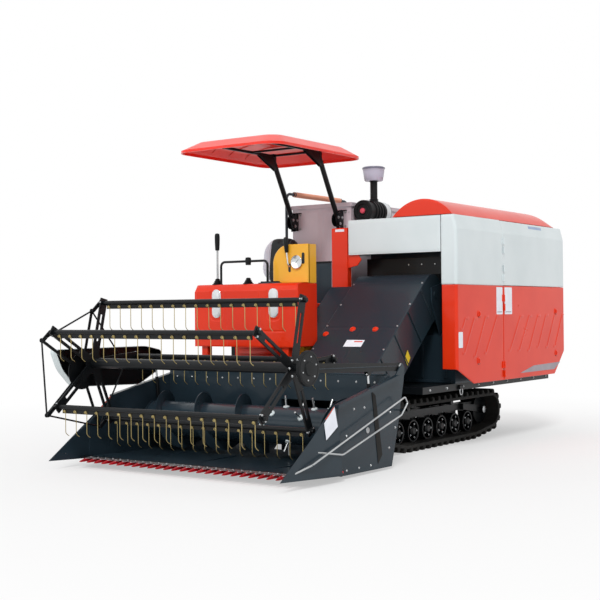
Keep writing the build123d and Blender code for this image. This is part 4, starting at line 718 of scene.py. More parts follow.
@dataclass
class Undercarriage:
    """Rubber tracks, the faces of their wheels, and what is bolted to the chassis.

    The wheels are (y, z, radius): the sprocket, the first and last roller and the idler.
    """

    gauge: float = 1000.0
    belt_width: float = 400.0
    belt_thick: float = 28.0
    lug_height: float = 34.0
    lug_count: int = 46
    roller_ys: tuple[float, ...] = (1940.0, 2190.0, 2440.0, 2690.0, 2940.0, 3190.0)
    wheels: tuple[tuple[float, float, float], ...] = (
        (1590.0, 248.0, 125.0), (1940.0, 157.0, 95.0), (3190.0, 157.0, 95.0),
        (3530.0, 240.0, 133.0))
    deck_x: float = 950.0
    ring_at: Pair = (2380.0, 492.0)

    def belt_line(self, offset: float) -> tuple[Grid, Grid]:
        """The closed line of the belt round its wheels, at an offset from their treads.

        Between two wheels the line is their common tangent, and round a wheel it is an arc.

        Args:
            offset: distance outside the wheels' treads.

        Returns:
            Points (y, z) and unit normals along the line.
        """
        wheel = np.array(self.wheels) + (0, 0, offset)
        ahead = np.roll(wheel, -1, 0)
        gap = ahead[:, :2] - wheel[:, :2]
        heading = np.arctan2(gap[:, 1], gap[:, 0])
        heading += np.arcsin((wheel[:, 2] - ahead[:, 2]) / np.hypot(*gap.T))
        start = np.roll(heading, 1)
        turned = (heading - start) % (2 * math.pi)
        angle = (start - math.pi / 2)[:, None] + turned[:, None] * np.linspace(0, 1, 40)
        normal = xyz(np.cos(angle), np.sin(angle))
        line = wheel[:, None, :2] + wheel[:, 2, None, None] * normal
        return line.reshape(-1, 2), normal.reshape(-1, 2)

    def belt(self, side: int) -> Mould:
        """One track: two rings of staggered lugs, side by side.

        Across the belt the section is a closed outline; along it the outer part rises by the
        lug's height times a trapezoid in the distance from the lug's middle.
        """
        line, normal = self.belt_line(0.0)
        outer, _ = self.belt_line(self.belt_thick)
        way = travelled(np.vstack([outer, outer[:1]]))
        pitch = way[-1] / self.lug_count
        foot, shoulder, top = 22.5, 17.5, 14.5
        local = np.array([-0.47 * pitch, -30, -foot, -shoulder, -top, -6, 6, top, shoulder, foot,
                          30])
        rise = np.interp(np.abs(local), [top, shoulder, foot], [1.0, 0.88, 0.0])
        width = self.belt_width / 2
        across = np.array([0.0, 0.0, 3.0, width - 14, width - 5, width, width - 3])
        level = np.array([0.0, 1.0, 1.0, 1.0, 1.0, 0.8, 0.0])
        share = np.array([0.0, 1.0, 1.0, 1.0, 0.9, 0.6, 0.0])
        height = self.belt_thick * level
        height = height + self.lug_height * np.tile(rise, self.lug_count)[:, None] * share
        closed = [np.append(v, v[0]) for v in (*line.T, *normal.T)]
        mould = Mould(RUBBER)
        for row, hand in enumerate((-1, 1)):
            where = (np.arange(self.lug_count)[:, None] + row / 2) * pitch + local
            y, z, ny, nz = (np.interp(where.ravel() % way[-1], way, v)[:, None] for v in closed)
            length = np.hypot(ny, nz)
            mould.put(ring(xyz(side * self.gauge / 2 + hand * across, y + ny / length * height,
                               z + nz / length * height)))
        return mould

    def wheel_faces(self, side: int) -> Mould:
        """Dished faces of the rollers and idler, their caps and bolts, on both sides of a track."""
        dish = [(0, 94), (5, 92), (5, 82), (-1, 77), (0, 44), (7, 38), (11, 32), (15, 26), (15, 10),
                (14, 0)]
        cap = [(0, 33), (4, 32), (6, 24), (8, 12), (8, 0)]
        rim = [(-44, 128), (-40, 131), (-40, 110), (-44, 106)]
        boss = [(0, 30), (8, 30), (14, 24), (16, 0)]
        mould = Mould(BLACK, ZINC)
        middle = side * self.gauge / 2
        sprocket, roller, _, idler = (wheel[:2] for wheel in self.wheels)
        for hand in (-1, 1):
            out = (hand, 0, 0)
            for y in self.roller_ys:
                spot = (y, roller[1])
                mould.put(lathe(dish, (middle + hand * 105, *spot), out, 30))
                mould.bolts(9, round_x(middle + hand * 106, spot, 58, circle(5)), out)
            mould.put(lathe(cap, (middle + hand * 110, *idler), out, 24), 1)
            mould.put(lathe(rim, (middle + hand * 104, *idler), out, 40))
        face, out = middle + side * 96, (side, 0, 0)
        mould.bolts(13, round_x(face, sprocket, 52, circle(5)), out)
        return mould.put(lathe(boss, (face, *sprocket), out), 1)

    def chassis_trim(self) -> Mould:
        """Bolts along the deck's edges and a lifting ring under a lug on each side."""
        mould = Mould(BLACK, ZINC)
        y, z = self.ring_at
        turn = circle(28)
        for side in (LEFT, RIGHT):
            edge = side * self.deck_x
            mould.bolts(11, xyz(edge, np.linspace(1860, 4180, 9), 528.0), (side, 0, 0))
            line = xyz(edge + side * 12, y + 24 * np.cos(turn), z + 30 * np.sin(turn))
            mould.put(hoop(line, 5, ALONG_X, 8), 1)
            mould.blocks((sorted((edge, edge + side * 18)), (y - 30, y + 30), (508, 540), 3))
        return mould

    def build(self) -> None:
        """Casts the undercarriage's pieces."""
        for side, name in ((LEFT, "left"), (RIGHT, "right")):
            track, node = f"rubber_track_{name}", f"track_{name}"
            self.belt(side).cast(track, Body.MACHINE, "track_rubber", [node])
            self.wheel_faces(side).cast(f"wheel_faces_{name}", Body.MACHINE, "black_paint")
        self.chassis_trim().cast("chassis_trim", Body.MACHINE, "black_paint")


# Side doors and covers of the threshing body

@dataclass(frozen=True)
class Door:
    """What a side door has of its own.

    Attributes:
        name: front or rear.
        body: what it moves with.
        hand: the way from the seam to its other end, along Y.
        end: where that end is.
        flange: width of the return round that end.
        counts: even places across its return and along its side.
        ribs: embossed lines, each top (y, z) and foot (y, z).
        latches: middles (y, z) of its turn latches.
        stiffeners: Y places of the top hats on its inner face.
        knuckles: feet of its hinge knuckles, for the lower and the upper panel.
    """

    name: str
    body: Body
    hand: int
    end: float
    flange: float
    counts: tuple[int, int]
    ribs: tuple
    latches: tuple
    stiffeners: tuple
    knuckles: tuple


FRONT = Door("front", Body.FRONT_DOOR, -1, 2090.0, 138.0, (12, 96),
             ((2237, 1099, 2182, 1015), (2396, 1096, 2218, 815), (2611, 1106, 2414, 785),
              (2835, 1112, 2617, 805)),
             ((2489, 1136), (2475, 743)), (2300, 2620), ((660.0, 1240.0), (1420.0, 1740.0)))
REAR = Door("rear", Body.REAR_DOOR, 1, 4350.0, 44.0, (4, 150),
            ((3320, 1106, 3100, 812), (3511, 1107, 3298, 806), (3708, 1109, 3503, 799),
             (3895, 1111, 3715, 824), (4103, 1112, 3918, 817), (4290, 1114, 4111, 818)),
            ((4130, 1150), (4132, 753)), (3300, 3720, 4080), ((580.0, 1160.0), (1500.0, 1660.0)))


@dataclass
class SideDoors:
    """The white and red side doors as pressed sheets with embossed ribs, latches and labels."""

    outer: float = 1080.0
    inner: float = 942.0
    seam: float = 2966.0
    gap: float = 4.0
    low: float = 556.0
    split: float = 1380.0
    split_gap: float = 1.5
    crease: float = 1835.0
    lean: float = 25.0
    corner: float = 24.0
    gauge: float = 3.5
    curl: float = 6.0
    rib_height: float = 5.5
    rib_half: float = 11.0

    def plan(self, door: Door) -> tuple[Grid, Grid]:
        """A door seen from above, and its normals: the return, a round corner and the side."""
        turn = np.linspace(math.pi / 2, 0, 9)
        round_x, round_y = self.outer - self.corner, door.end - door.hand * self.corner
        normal = xyz(np.cos(turn), door.hand * np.sin(turn))
        back = fine(self.outer - door.flange, round_x, door.counts[0], self.curl)[:-1]
        limits = sorted((round_y, self.seam + door.hand * self.gap))
        side = fine(*limits, door.counts[1], self.curl)[::-door.hand][1:]
        points = np.concatenate([xyz(back, door.end), (round_x, round_y) + self.corner * normal,
                                 xyz(self.outer, side)])
        out = np.concatenate([np.tile((0.0, door.hand), (len(back), 1)), normal,
                              np.tile((1.0, 0.0), (len(side), 1))])
        return points[::-door.hand], out[::-door.hand]

    def raise_ribs(self, y: Grid, z: Grid, ribs: Sequence) -> Grid:
        """Height of the embossed ribs: for each, a rounded ridge with a short foot and head.

        It is the rib's height times a smooth rise with nearness to the rib's line.
        """
        rise = np.zeros_like(y)
        for y1, z1, y0, z0 in ribs:
            for start, end in (((y0, z0), (y1, z1)), ((y1, z1), (y1 + 55, z1 + 3)),
                               ((y0, z0), (y0 - 30, z0 - 2))):
                near = step_up(1 - near_line(y, z, start, end) / self.rib_half)
                rise = np.maximum(rise, near)
        return self.rib_height * rise

    def lower(self, door: Door) -> Shell:
        """A red lower panel: its foot follows the slanting cuts at the low corners, and its ribs
        rise."""
        points, out = self.plan(door)
        foot = self.low + np.interp(points[:, 1], [2080, 2390, 4100, 4350], [134, 0, 0, 226])
        top = self.split - self.split_gap
        share = fine(0.0, 1.0, 84, self.curl / (self.split - self.low))
        z = foot + (top - foot) * share[:, None]
        y = np.broadcast_to(points[:, 1], z.shape)
        rise = np.where(out[:, 0] > 0.999, self.raise_ribs(y, z, door.ribs), 0)
        rise -= curled(np.minimum(z - foot, top - z), self.curl)
        return self.pressed(points, out, z, rise, 0.0)

    def upper(self, door: Door) -> Shell:
        """A white upper panel: straight to the crease, then leaning in to a rounded top flange."""
        points, out = self.plan(door)
        foot = self.split + self.split_gap
        straight = fine(foot, self.crease, 30, self.curl)[:-4]
        level = np.append(straight, [1831, 1835, 1841, 1862, 1900, 1936, 1943, 1947.5, 1949.6, 1950,
                                     1950])[:, None]
        flange = np.zeros_like(level)
        flange[-6:, 0] = (0.6, 2.0, 5.0, 9.0, 20.0, 34.0)
        rise = -curled(level - foot, self.curl) - flange
        z = np.broadcast_to(level, (len(level), len(points)))
        return self.pressed(points, out, z, rise, self.leaning(level))

    def leaning(self, level: Grid) -> Grid:
        """How far the upper panel leans in at a level, from the crease up."""
        return np.interp(level, [self.crease - 2, self.crease + 4, 1936], [0, 1.2, self.lean])

    def pressed(self, points: Grid, out: Grid, z: Grid, rise: Grid, lean: Grid | float) -> Shell:
        """Puts a panel together.

        A point is the plan's point, drawn in towards the return by the lean, moved out along the
        plan's normal by the rise, and dropped back at the panel's two upright edges.
        """
        width = travelled(points)
        ends = curled(np.minimum(width, width[-1] - width), self.curl)
        x = self.inner + (points[:, 0] - self.inner) * (1 - lean / (self.outer - self.inner))
        move = rise - ends
        grid = xyz(x + move * out[:, 0], points[:, 1] + move * out[:, 1], z)
        normal = np.cross(grid[1, 0] - grid[0, 0], grid[0, 1] - grid[0, 0])
        away = grid[0, 0] - np.array([500.0, 3200.0, 1200.0])
        return sheet(grid, math.copysign(self.gauge, normal @ away))

    def fittings(self, mould: Mould, door: Door, knuckles: Sequence, hat_z: Pair) -> Mould:
        """Adds a panel's hinge knuckles with their tabs, and stiffeners on its inner face."""
        pin = [(0, 5), (1, 6), (59, 6), (60, 5)]
        tab_y = sorted((self.seam, self.seam + door.hand * 26))
        for low in knuckles:
            mould.put(lathe(pin, (self.outer + 12, self.seam, low), ALONG_Z, 16))
            mould.blocks(((self.outer - 3, self.outer + 9), tab_y, (low, low + 60), 1))
        for y in door.stiffeners:
            hat = [(1060, y - 12), (1076, y - 22), (1076, y + 22), (1060, y + 12)]
            mould.put(prism(hat, *hat_z, Axis.Z, 2))
        return mould

    def latch(self, mould: Mould, y: float, z: float) -> None:
        """A round turn latch: a shallow cup, a raised grip bar and, under it, a black plate of
        painted shade for the gap.
        """
        x = self.outer
        cup = [(-1, 30), (2, 30), (6, 27), (7, 22), (4, 18), (3, 0)]
        mould.put(lathe(cup, (x, y, z), ALONG_X, 24))
        mould.put(rounded((y, z), (11, 40), 5, (x + 2, x + 12), Axis.X, 3))
        # Black plate under the grip: painted shade in the gap below the bar.
        mould.put(rounded((y, z - 25), (36, 9), 4, (x - 1, x + 5), Axis.X, 2), 1)

    def label(self, middle: Pair, size: Pair, radius: float, span: Pair = (0.0, 1.2),
              bevel: float = 0.4) -> Shell:
        """A film with round corners on the doors' skin; its span is counted from just off it."""
        skin = self.outer + 0.2
        return rounded(middle, size, radius, (skin + span[0], skin + span[1]), Axis.X, bevel)

    def labels(self) -> None:
        """Blank labels: white at the seam and on the corner, a pale oval, a blue strip and a grey
        wedge."""
        line = (1.0, 1.6)
        mould = Mould(PAPER, STRIPE).put(self.label((2890, 1247), (122, 236), 8))
        mould.put(self.label((2890, 1150), (96, 8), 3, line, 0.2), 1)
        mould.put(self.label((2150, 925), (74, 130), 6))
        mould.cast("front_door_labels", Body.FRONT_DOOR, "white_paint")
        mould = Mould(PAPER, STRIPE).put(self.label((3070, 1247), (150, 236), 8))
        mould.put(self.label((3070, 1150), (118, 8), 3, line, 0.2), 1)
        skin = self.outer + 0.2
        wedge = [(3307, 600), (3604, 655), (4228, 665), (4085, 600)]
        mould.put(prism(wedge, skin, skin + 1.4, Axis.X, 0.5), 1)
        mould.cast("rear_door_labels", Body.REAR_DOOR, "red_paint")
        mould, middle = Mould(STRIPE, PAPER), (2355, 1712)
        for size, radius, low, finish in ((128, 63, 0.0, 0), (118, 58, 0.4, 1)):
            oval = rounded_outline(middle, size, size + 48, radius, 12)
            mould.put(prism(oval, skin + low, skin + low + 0.9, Axis.X, 0.3), finish)
        mould.cast("front_door_badge", Body.FRONT_DOOR, "white_paint")
        y, z = np.meshgrid(np.linspace(3560, 3850, 3), np.linspace(1908, 1932, 3), indexing="ij")
        lean = np.interp(z, [1839, 1936], [1.2, self.lean])
        band = Mould(SKY).put(sheet(xyz(self.outer - lean + 0.9, y, z), 1.0))
        band.cast("rear_door_strip", Body.REAR_DOOR, "white_paint")

    def build(self) -> None:
        """Casts the four door panels with their latches, then the labels."""
        for door in (FRONT, REAR):
            low = Mould(RED, BLACK).put(self.lower(door))
            self.fittings(low, door, door.knuckles[0], (700, 1330))
            for y, z in door.latches:
                self.latch(low, y, z)
            name = f"door_{door.name}_"
            low.cast(name + "lower", door.body, "red_paint", [f"{door.name}_door_lower"])
            high = Mould(WHITE).put(self.upper(door))
            self.fittings(high, door, door.knuckles[1], (1420, 1790))
            high.cast(name + "upper", door.body, "white_paint", [f"{door.name}_door_upper"])
        self.labels()


@dataclass
class BodyCovers:
    """Fascia, red column, arched drum lid and the dressing of the threshing body and straw hood."""

    lid_x: Pair = (484.0, 1040.0)
    lid_y: Pair = (2094.0, 4240.0)
    lid_base: float = 1956.0
    lid_rise: float = 138.0
    fascia_x: Pair = (44.0, 934.0)
    fascia_z: Pair = (1652.0, 1950.0)
    front: float = 2090.0
    fascia_curl: float = 10.0

    def lid(self) -> Mould:
        """The arched lid: a circular arc across, carried along a line that starts upright, turns
        over a small edge, runs level and drops in a quarter ellipse at the rear."""
        half, rise = (self.lid_x[1] - self.lid_x[0]) / 2, self.lid_rise
        radius = (half ** 2 + rise ** 2) / (2 * rise)
        reach = math.asin(half / radius)
        angle = np.linspace(-reach, reach, 44)
        across, up = radius * np.sin(angle), (radius * np.cos(angle) - radius + rise) / rise
        over, drop = np.linspace(0, math.pi / 2, 6), np.linspace(0, math.pi / 2, 14)
        y0, y1 = self.lid_y
        y = np.concatenate([[y0] * 4, y0 + 12 - 12 * np.cos(over),
                            np.linspace(y0 + 60, y1 - 240, 20), y1 - 200 + 200 * np.sin(drop)])
        share = np.concatenate([[0.0, 0.3, 0.6, 0.8], 0.9 + 0.1 * np.sin(over), np.ones(20),
                                0.02 + 0.98 * np.cos(drop)])
        side = np.append(np.ones(30), 0.93 + 0.07 * np.cos(drop))
        grid = xyz(self.lid_x[0] + half + across * side[:, None], y[:, None],
                   self.lid_base + rise * up * share[:, None])
        mould = Mould(RED, BLACK).put(sheet(grid, -4.0))
        x, z = self.lid_x[0], self.lid_base
        return mould.blocks(*(((x - 2, x + 12), (y + 10, y + 110), (z - 3, z + 8), 1.5)
                              for y in (2200.0, 3100.0, 4000.0)), finish=1)

    def fascia(self) -> Mould:
        """The white fascia's skin: a section from its lower lip round the front to the top,
        carried across, its two ends rolled back."""
        low, high = self.fascia_z
        front, curl = self.front, self.fascia_curl
        turn = np.linspace(0, math.pi / 2, 7)
        sin, cos = np.sin(turn), np.cos(turn)
        section = np.concatenate([
            [(front + 46, low - 1.5)], xyz(front + 16 - 17.5 * sin, low + 16 - 17.5 * cos),
            xyz(front - 1.5, np.linspace(low + 30, high - 32, 20)),
            xyz(front + 20 - 21.5 * cos, high - 20 + 21.5 * sin), [(front + 120, high + 1.5)]])
        x = fine(*self.fascia_x, 70, curl)[:, None]
        back = curled(np.minimum(x - x[0], x[-1] - x), curl)
        pull = unit(np.array([front + 30, (low + high) / 2]) - section)
        grid = xyz(x, section[:, 0] + back * np.abs(pull[:, 0]),
                   section[:, 1] + back * pull[:, 1] * 0.3)
        mould = Mould(WHITE, BLACK, ZINC).put(sheet(grid, 1.2))
        mould.bolts(12, xyz(np.linspace(520, 900, 4), 2300.0, 1560.0), FORWARD, 2)
        # The two black plates under the fascia are painted shade: the body's front wall and its
        # slot lie in shadow there.
        return mould.blocks(((104, 912), (2296, 2304), (1470, 1620), 3),
                            ((104, 912), (2304, 2432), (1500, 1560), 3), finish=1)

    def column(self) -> Mould:
        """The red column with its rolled edges, a red gusset under the fascia and a blank label."""
        gusset = [(25.5, 1655), (130, 1655), (160, 1610), (120, 1560), (25.5, 1540)]
        mould = Mould(RED, PAPER).blocks(((-135, 25), (2100, 2160), (556.5, 1890), 5))
        mould.put(prism(gusset, 2108, 2120, Axis.Y, 2))
        return mould.put(rounded((-52, 1868), (92, 22), 3, (2098.6, 2100.4), Axis.Y, 0.4), 1)

    def body_trim(self) -> Mould:
        """Stiffening ribs, inspection plates and bolts on the threshing body's end walls."""
        mould = Mould(SLATE, ZINC)
        mould.blocks(*(((x - 9, x + 9), (2288, 2302), (600, 930), 3) for x in (200, 420, 640, 860)),
                     ((90, 920), (2290, 2303), (560, 584), 3))
        for z in (700, 1180):
            mould.put(rounded((505, z), (560, 260), 30, (4286, 4294), Axis.Y, 2))
            x, level = np.meshgrid(np.linspace(250, 760, 5), (z - 112.0, z + 112.0))
            mould.bolts(11, xyz(x, 4294.0, level), ALONG_Y)
        return mould

    def hood_trim(self) -> Mould:
        """Rolled rim and pressed bands of the straw hood, with a rubber curtain at its mouth."""
        mould = Mould(RED, RUBBER, ZINC)
        mould.blocks(*(((110, 970), (4448, 4456), (z, z + 26), 3) for z in (1140, 1300, 1460)),
                     ((84, 996), (4438, 4454), (990, 1016), 4))
        mould.blocks(((96, 984), (4424, 4430), (780, 1010), 1.5), finish=1)
        return mould.bolts(9, xyz(np.linspace(130, 950, 7), 4454.0, 1003.0), ALONG_Y, 2)

    def build(self) -> None:
        """Casts the covers."""
        self.lid().cast("drum_lid_shell", Body.LID, "red_paint", ["drum_cover"])
        self.fascia().cast("fascia_skin", Body.MACHINE, "white_paint")
        self.column().cast("red_column", Body.MACHINE, "red_paint", ["front_column"])
        self.body_trim().cast("body_trim", Body.MACHINE, "slate_paint")
        self.hood_trim().cast("hood_trim", Body.MACHINE, "red_paint")


# Grain tank and air intake

@dataclass
class TankAndIntake:
    """Pressed walls of the grain tank, its hand rail, the grain elevator and the air cleaner."""

    x: Pair = (-790.0, -150.0)
    y: Pair = (2440.0, 3780.0)
    z: Pair = (1240.0, 2110.0)
    rim_z: float = 2140.0
    panel_height: float = 7.0
    rail_z: float = 2262.0
    drum: tuple[float, float, float] = (-30.0, 2452.0, 2062.0)
    bowl_foot: tuple[float, float, float] = (-30.0, 2640.0, 2168.3)
    elevator_at: Pair = (-260.0, 3900.0)

    def wall(self, low: float, high: float, panels: int) -> tuple[Grid, Grid, Grid]:
        """A wall's grid with raised panels between upright beads.

        The height is the panel's times a smooth rise with the distance from the nearest bead line
        and from the wall's edges.

        Returns:
            Places along the wall, places up it, and height off it.
        """
        along, up = np.meshgrid(np.linspace(low, high, 24 * panels + 1),
                                np.linspace(self.z[0] + 6, self.z[1] - 6, 60), indexing="ij")
        pitch = (high - low) / panels
        bead = np.abs((along - low + pitch / 2) % pitch - pitch / 2)
        edge = np.minimum(up - up[0, 0], up[0, -1] - up)
        rise = step_up(bead / 26 - 0.35) * step_up(edge / 26 - 0.35)
        return along, up, self.panel_height * rise + 1.0

    def walls(self) -> Mould:
        """The tank's four pressed walls and its rolled rim."""
        mould = Mould(TANK, ZINC)
        for limits, run, panels, order in ((self.y, self.x, 2, 1), (self.x, self.y, 4, -1)):
            along, up, height = self.wall(run[0] + 4, run[1] - 4, panels)
            for place, sign in zip(limits, (-1, 1)):
                grid = xyz(*(along, place + sign * height)[::order], up)
                mould.put(sheet(grid, order * sign * 0.8))
        (x0, x1), (y0, y1), z = self.x, self.y, self.rim_z
        corners = np.array([(x0 - 9, y0 - 9, z), (x1 + 9, y0 - 9, z), (x1 + 9, y1 + 9, z),
                            (x0 - 9, y1 + 9, z), (x0 - 9, y0 - 9, z)])
        line = np.concatenate([np.linspace(a, b, 12, endpoint=False)
                               for a, b in zip(corners, corners[1:])])
        mould.put(hoop(line, 7, ALONG_Z, 10))
        return mould.bolts(9, xyz(x1 - 20, y0 - 2, [1300.0, 1330, 2060]), FORWARD)

    def rail(self) -> Mould:
        """The thick foam sleeve on the tank's hand rail, drawn in at both ends."""
        x, z = self.x[0] - 28.3, self.rail_z
        mould = Mould(SLEEVE, GREY)
        mould.put(tube(np.linspace((x, 2494, z), (x, 3306, z), 30), 25.5, 20, rim=5))
        for y in (2490, 3300):
            mould.put(lathe([(0, 16), (1, 18), (9, 18), (10, 16)], (x, y, z), ALONG_Y, 20), 1)
        return mould

    def cleaner(self) -> Mould:
        """The air cleaner's drum: a turned profile with four deep ribs, a pale rear band, a dished
        front lid with a pink-red knob, and clips round its rim."""
        x, y, z = self.drum
        rib = np.array([(0, 88), (1, 94), (4, 101), (12, 102), (17, 101), (20, 94), (21, 88)])
        ribs = np.concatenate([rib + (start, 0) for start in (86, 131, 176, 221)])
        profile = [(-6, 0), (-6, 30), (0, 36), (1, 58), (-8, 64), (-9, 88), (-4, 97), (30, 98),
                   (33, 90), (84, 90), *ribs, (246, 90), (250, 97), (340, 97), (347, 90), (348, 0)]
        knob = [(-16, 0), (-16, 15), (-12, 22), (-2, 25), (4, 25)]
        band = [(262, 97.6), (264, 98.6), (330, 98.6), (333, 97.6)]
        collar = [(0, 46), (8, 46), (20, 40), (24, 36)]
        mould = Mould(PLASTIC, KNOB, ZINC, WHITE)
        mould.put(lathe(profile, self.drum, ALONG_Y, 48))
        mould.put(lathe(knob, (x, y - 6, z), ALONG_Y, 24), 1)
        mould.put(lathe(band, self.drum, ALONG_Y, 48), 3)
        mould.put(lathe(collar, (x, y + 188, z + 82), ALONG_Z, 28))
        for angle in np.radians((20, 140, 260)):
            a, b = x + 98 * math.sin(angle), z + 98 * math.cos(angle)
            mould.blocks(((a - 8, a + 8), (y + 10, y + 48), (b - 5, b + 5), 2), finish=2)
        return mould.blocks(((-149.7, -10), (2560, 2700), (1944, 1982), 4))

    def bowl(self) -> Mould:
        """The pre-cleaner: black stem, milky flared bowl and a smoke-grey domed cap."""
        stem = [(0, 40), (10, 40), (14, 33), (165, 33), (172, 40), (178, 44)]
        flare = [(174, 0), (175, 78), (182, 84), (236, 93), (280, 98.5), (286, 99), (288, 0)]
        cap = [(284, 0), (284, 103), (289, 104), (298, 101), (304, 88), (307.5, 50), (308, 12),
               (308, 0)]
        mould = Mould(PLASTIC, SMOKED, CAP).put(lathe(stem, self.bowl_foot, ALONG_Z, 32))
        mould.put(lathe(flare, self.bowl_foot, ALONG_Z, 48), 1)
        return mould.put(lathe(cap, self.bowl_foot, ALONG_Z, 48), 2)

    def elevator(self) -> Mould:
        """The grain elevator: a round tube with clamp bands and a flat bolted head over the tank's
        rim."""
        x, y = self.elevator_at
        pipe = [(0, 70), (0, 78), (1600, 78), (1612, 74), (1614, 60)]
        clamp = [(0, 77), (2, 82), (28, 82), (30, 77)]
        mould = Mould(TANK, ZINC).put(lathe(pipe, (x, y, 556.5), ALONG_Z, 36))
        for z in (800, 1400, 2000):
            mould.put(lathe(clamp, (x, y, z), ALONG_Z, 36))
        mould.blocks(((x - 80, x + 80), (3650, 3960), (2148, 2184), 8))
        spots = [(x + sx, sy, 2184) for sx in (-65, 65) for sy in (3670, 3800, 3940)]
        return mould.bolts(9, spots, ALONG_Z)

    def build(self) -> None:
        """Casts the tank's and the intake's pieces."""
        self.walls().cast("tank_walls", Body.MACHINE, "white_paint")
        self.rail().cast("rail_sleeve", Body.MACHINE, "grey_paint")
        self.cleaner().cast("air_cleaner_drum", Body.MACHINE, "black_plastic", ["air_cleaner"])
        self.bowl().cast("precleaner_bowl", Body.MACHINE, "bowl_plastic", ["precleaner"])
        self.elevator().cast("elevator", Body.MACHINE, "white_paint", ["grain_elevator"])


# Operator's place

@dataclass
class OperatorPlace:
    """Console with lamps and levers, yellow side console, floor, engine cover, screen door."""

    console_x: Pair = (-985.0, 92.0)
    console_y: float = 1255.0
    console_z: Pair = (880.0, 1400.0)
    console_curl: float = 26.0
    foot_curl: float = 8.0
    lamp_xs: Pair = (-746.0, -152.0)
    lamp_z: float = 1240.0
    side_x: Pair = (-263.0, 92.0)
    side_y: Pair = (1403.0, 1524.0)
    side_top: float = 1720.0
    side_round: float = 160.0
    dial_at: Pair = (-16.0, 1573.0)
    lever_y: float = 1337.5

    def console_front(self) -> Mould:
        """The console's front skin: a plan with round ends, pressed in along two seams and round
        the lamps, carried up to a soft top edge; and the red side panel behind it."""
        x0, x1 = self.console_x
        across = fine(x0, x1, 160, self.console_curl)
        up = fine(self.console_z[0], self.console_z[1] - 58, 60, self.foot_curl)
        x, z = np.meshgrid(across, up, indexing="ij")
        ends = curled(np.minimum(across - x0, x1 - across), self.console_curl)[:, None]
        back = ends + curled(z - up[0], self.foot_curl)
        for seam in (-640.0, -295.0):
            back += 3.5 * step_up(1 - np.abs(x - seam) / 7)
        back += 3.0 * step_up(1 - np.abs(z - 1010) / 6) * (np.abs(x + 150) < 100)
        for lamp in self.lamp_xs:
            dist = np.hypot(np.maximum(np.abs(x - lamp) - 20, 0),
                            np.maximum(np.abs(z - self.lamp_z) - 92, 0))
            back += 6 * step_up(1 - np.abs(dist - 44) / 10)
        edge, level = np.transpose([(0.5, 1350), (14, 1372), (30, 1393), (40, 1400), (50, 1402),
                                    (146, 1402)])
        grid = np.concatenate([xyz(x, self.console_y - 2.5 + back, z),
                               xyz(across[:, None], self.console_y + edge + ends * 0.5, level)], 1)
        return Mould(RED).put(sheet(grid, 2.0)).blocks(
            ((x1 - 14, x1), (1260, self.side_y[1]), (884, 1399), 5))

    def lamps(self) -> Mould:
        """Two upright oblong headlamps: a bezel and a domed clear lens."""
        mould = Mould(LENS, CHROME)
        for x in self.lamp_xs:
            bezel = rounded_outline((x, self.lamp_z), 96, 240, 46, 10)
            mould.put(prism(bezel, 1250, 1258, Axis.Y, 2), 1)
            flat = rounded_outline((0, 0), 88, 232, 42, 10)
            dome = ((1.0, 1256), (0.97, 1247), (0.86, 1242), (0.6, 1239), (0.25, 1238),
                    (0.02, 1238))
            mould.put(loft(np.stack([np.insert(flat * size + (x, self.lamp_z), 1, y, axis=1)
                                     for size, y in dome])))
        return mould

    def side_panel(self) -> Mould:
        """The yellow side console behind the front one: a quarter circle rounds its upper right
        corner, and its front has a round dial, a gate slot and a black-handled lever. The gate slot
        and the lever's slot are black films of painted shade."""
        (x0, x1), (y0, y1), top = self.side_x, self.side_y, self.side_top
        low, box_x = self.console_z[1] + 3, x0 + 73
        turn = np.linspace(math.pi, math.pi / 2, 18)
        curve = xyz(np.cos(turn), np.sin(turn)) * self.side_round
        curve += (x0 + self.side_round, top - self.side_round)
        mould = Mould(YELLOW, CHROME, INK_AND_SLOT_SHADE, PAPER, PLASTIC)
        mould.put(prism([(x0, low), *curve, (x1, top), (x1, low)], y0, y0 + 24, Axis.Y, 5))
        box = curve[curve[:, 0] > box_x + 4] - (0, 1.0)
        outline = [(box_x, low), (box_x, box[0, 1] - 8), *box, (x1, top - 1), (x1, low)]
        mould.put(prism(outline, y0 + 3, y1, Axis.Y, 5))
        mould.blocks(((box_x, 25), (1424, 1600), (660.5, low + 2), 6))
        dial = np.array([self.dial_at[0], y0, self.dial_at[1]])
        bezel = [(-4, 48), (12, 53), (16, 55), (18, 52), (15, 46)]
        mould.put(lathe(bezel, dial, FORWARD, 40), 1)
        mould.put(lathe([(9, 0), (12, 47), (12.8, 47), (13, 0)], dial, FORWARD, 40), 3)
        for angle in np.radians(np.arange(-120, 121, 24)):
            spoke = np.array([math.sin(angle), 0.0, math.cos(angle)])
            mark = dial - (0, 13.3, 0) + spoke * np.array([[31], [42]])
            mould.put(tube(mark, 1.5, 5), 2)
        needle = dial - (0, 14, 0) + np.array([[-10], [32]]) * (0.7, 0, 0.7)
        mould.put(tube(needle, 2.0, 6), 2)
        # Gate slot and lever slot: black films, painted shade for the openings.
        for middle, size, radius in (((43, 1603), (28, 92), 13), ((-93, 1528), (24, 70), 11)):
            mould.put(rounded(middle, size, radius, (y0 - 2, y0 + 1), Axis.Y, 0.6), 2)
        shaft = bent([(-92, y0 + 10, 1532), (-95, y0 - 18, 1550), (-109, y0 - 20, 1670)], 20)
        mould.put(tube(shaft, 7, 12), 1)
        grip = [(0, 11), (6, 15), (60, 19), (108, 20), (124, 14), (129, 4)]
        return mould.put(lathe(grip, (-107, y0 - 20, 1652), (-0.08, -0.02, 1), 24), 4)

    def side_wall(self) -> Mould:
        """Slate plates between the console and the red column: one slants down beside the feeder,
        one stands on the engine cover's edge under a black bar."""
        slant = [(2096, 1378), (2087, 1378), (1532, 906), (1532, 898), (2090, 1371), (2096, 1371)]
        mould = Mould(SLATE, BLACK).put(prism(slant, -144, 94, Axis.X))
        mould.blocks(((-312, -137), (2090, 2096), (1241, 1592), 1.5))
        return mould.blocks(((-314, -136), (2084, 2099), (1590, 1606), 3), finish=1)

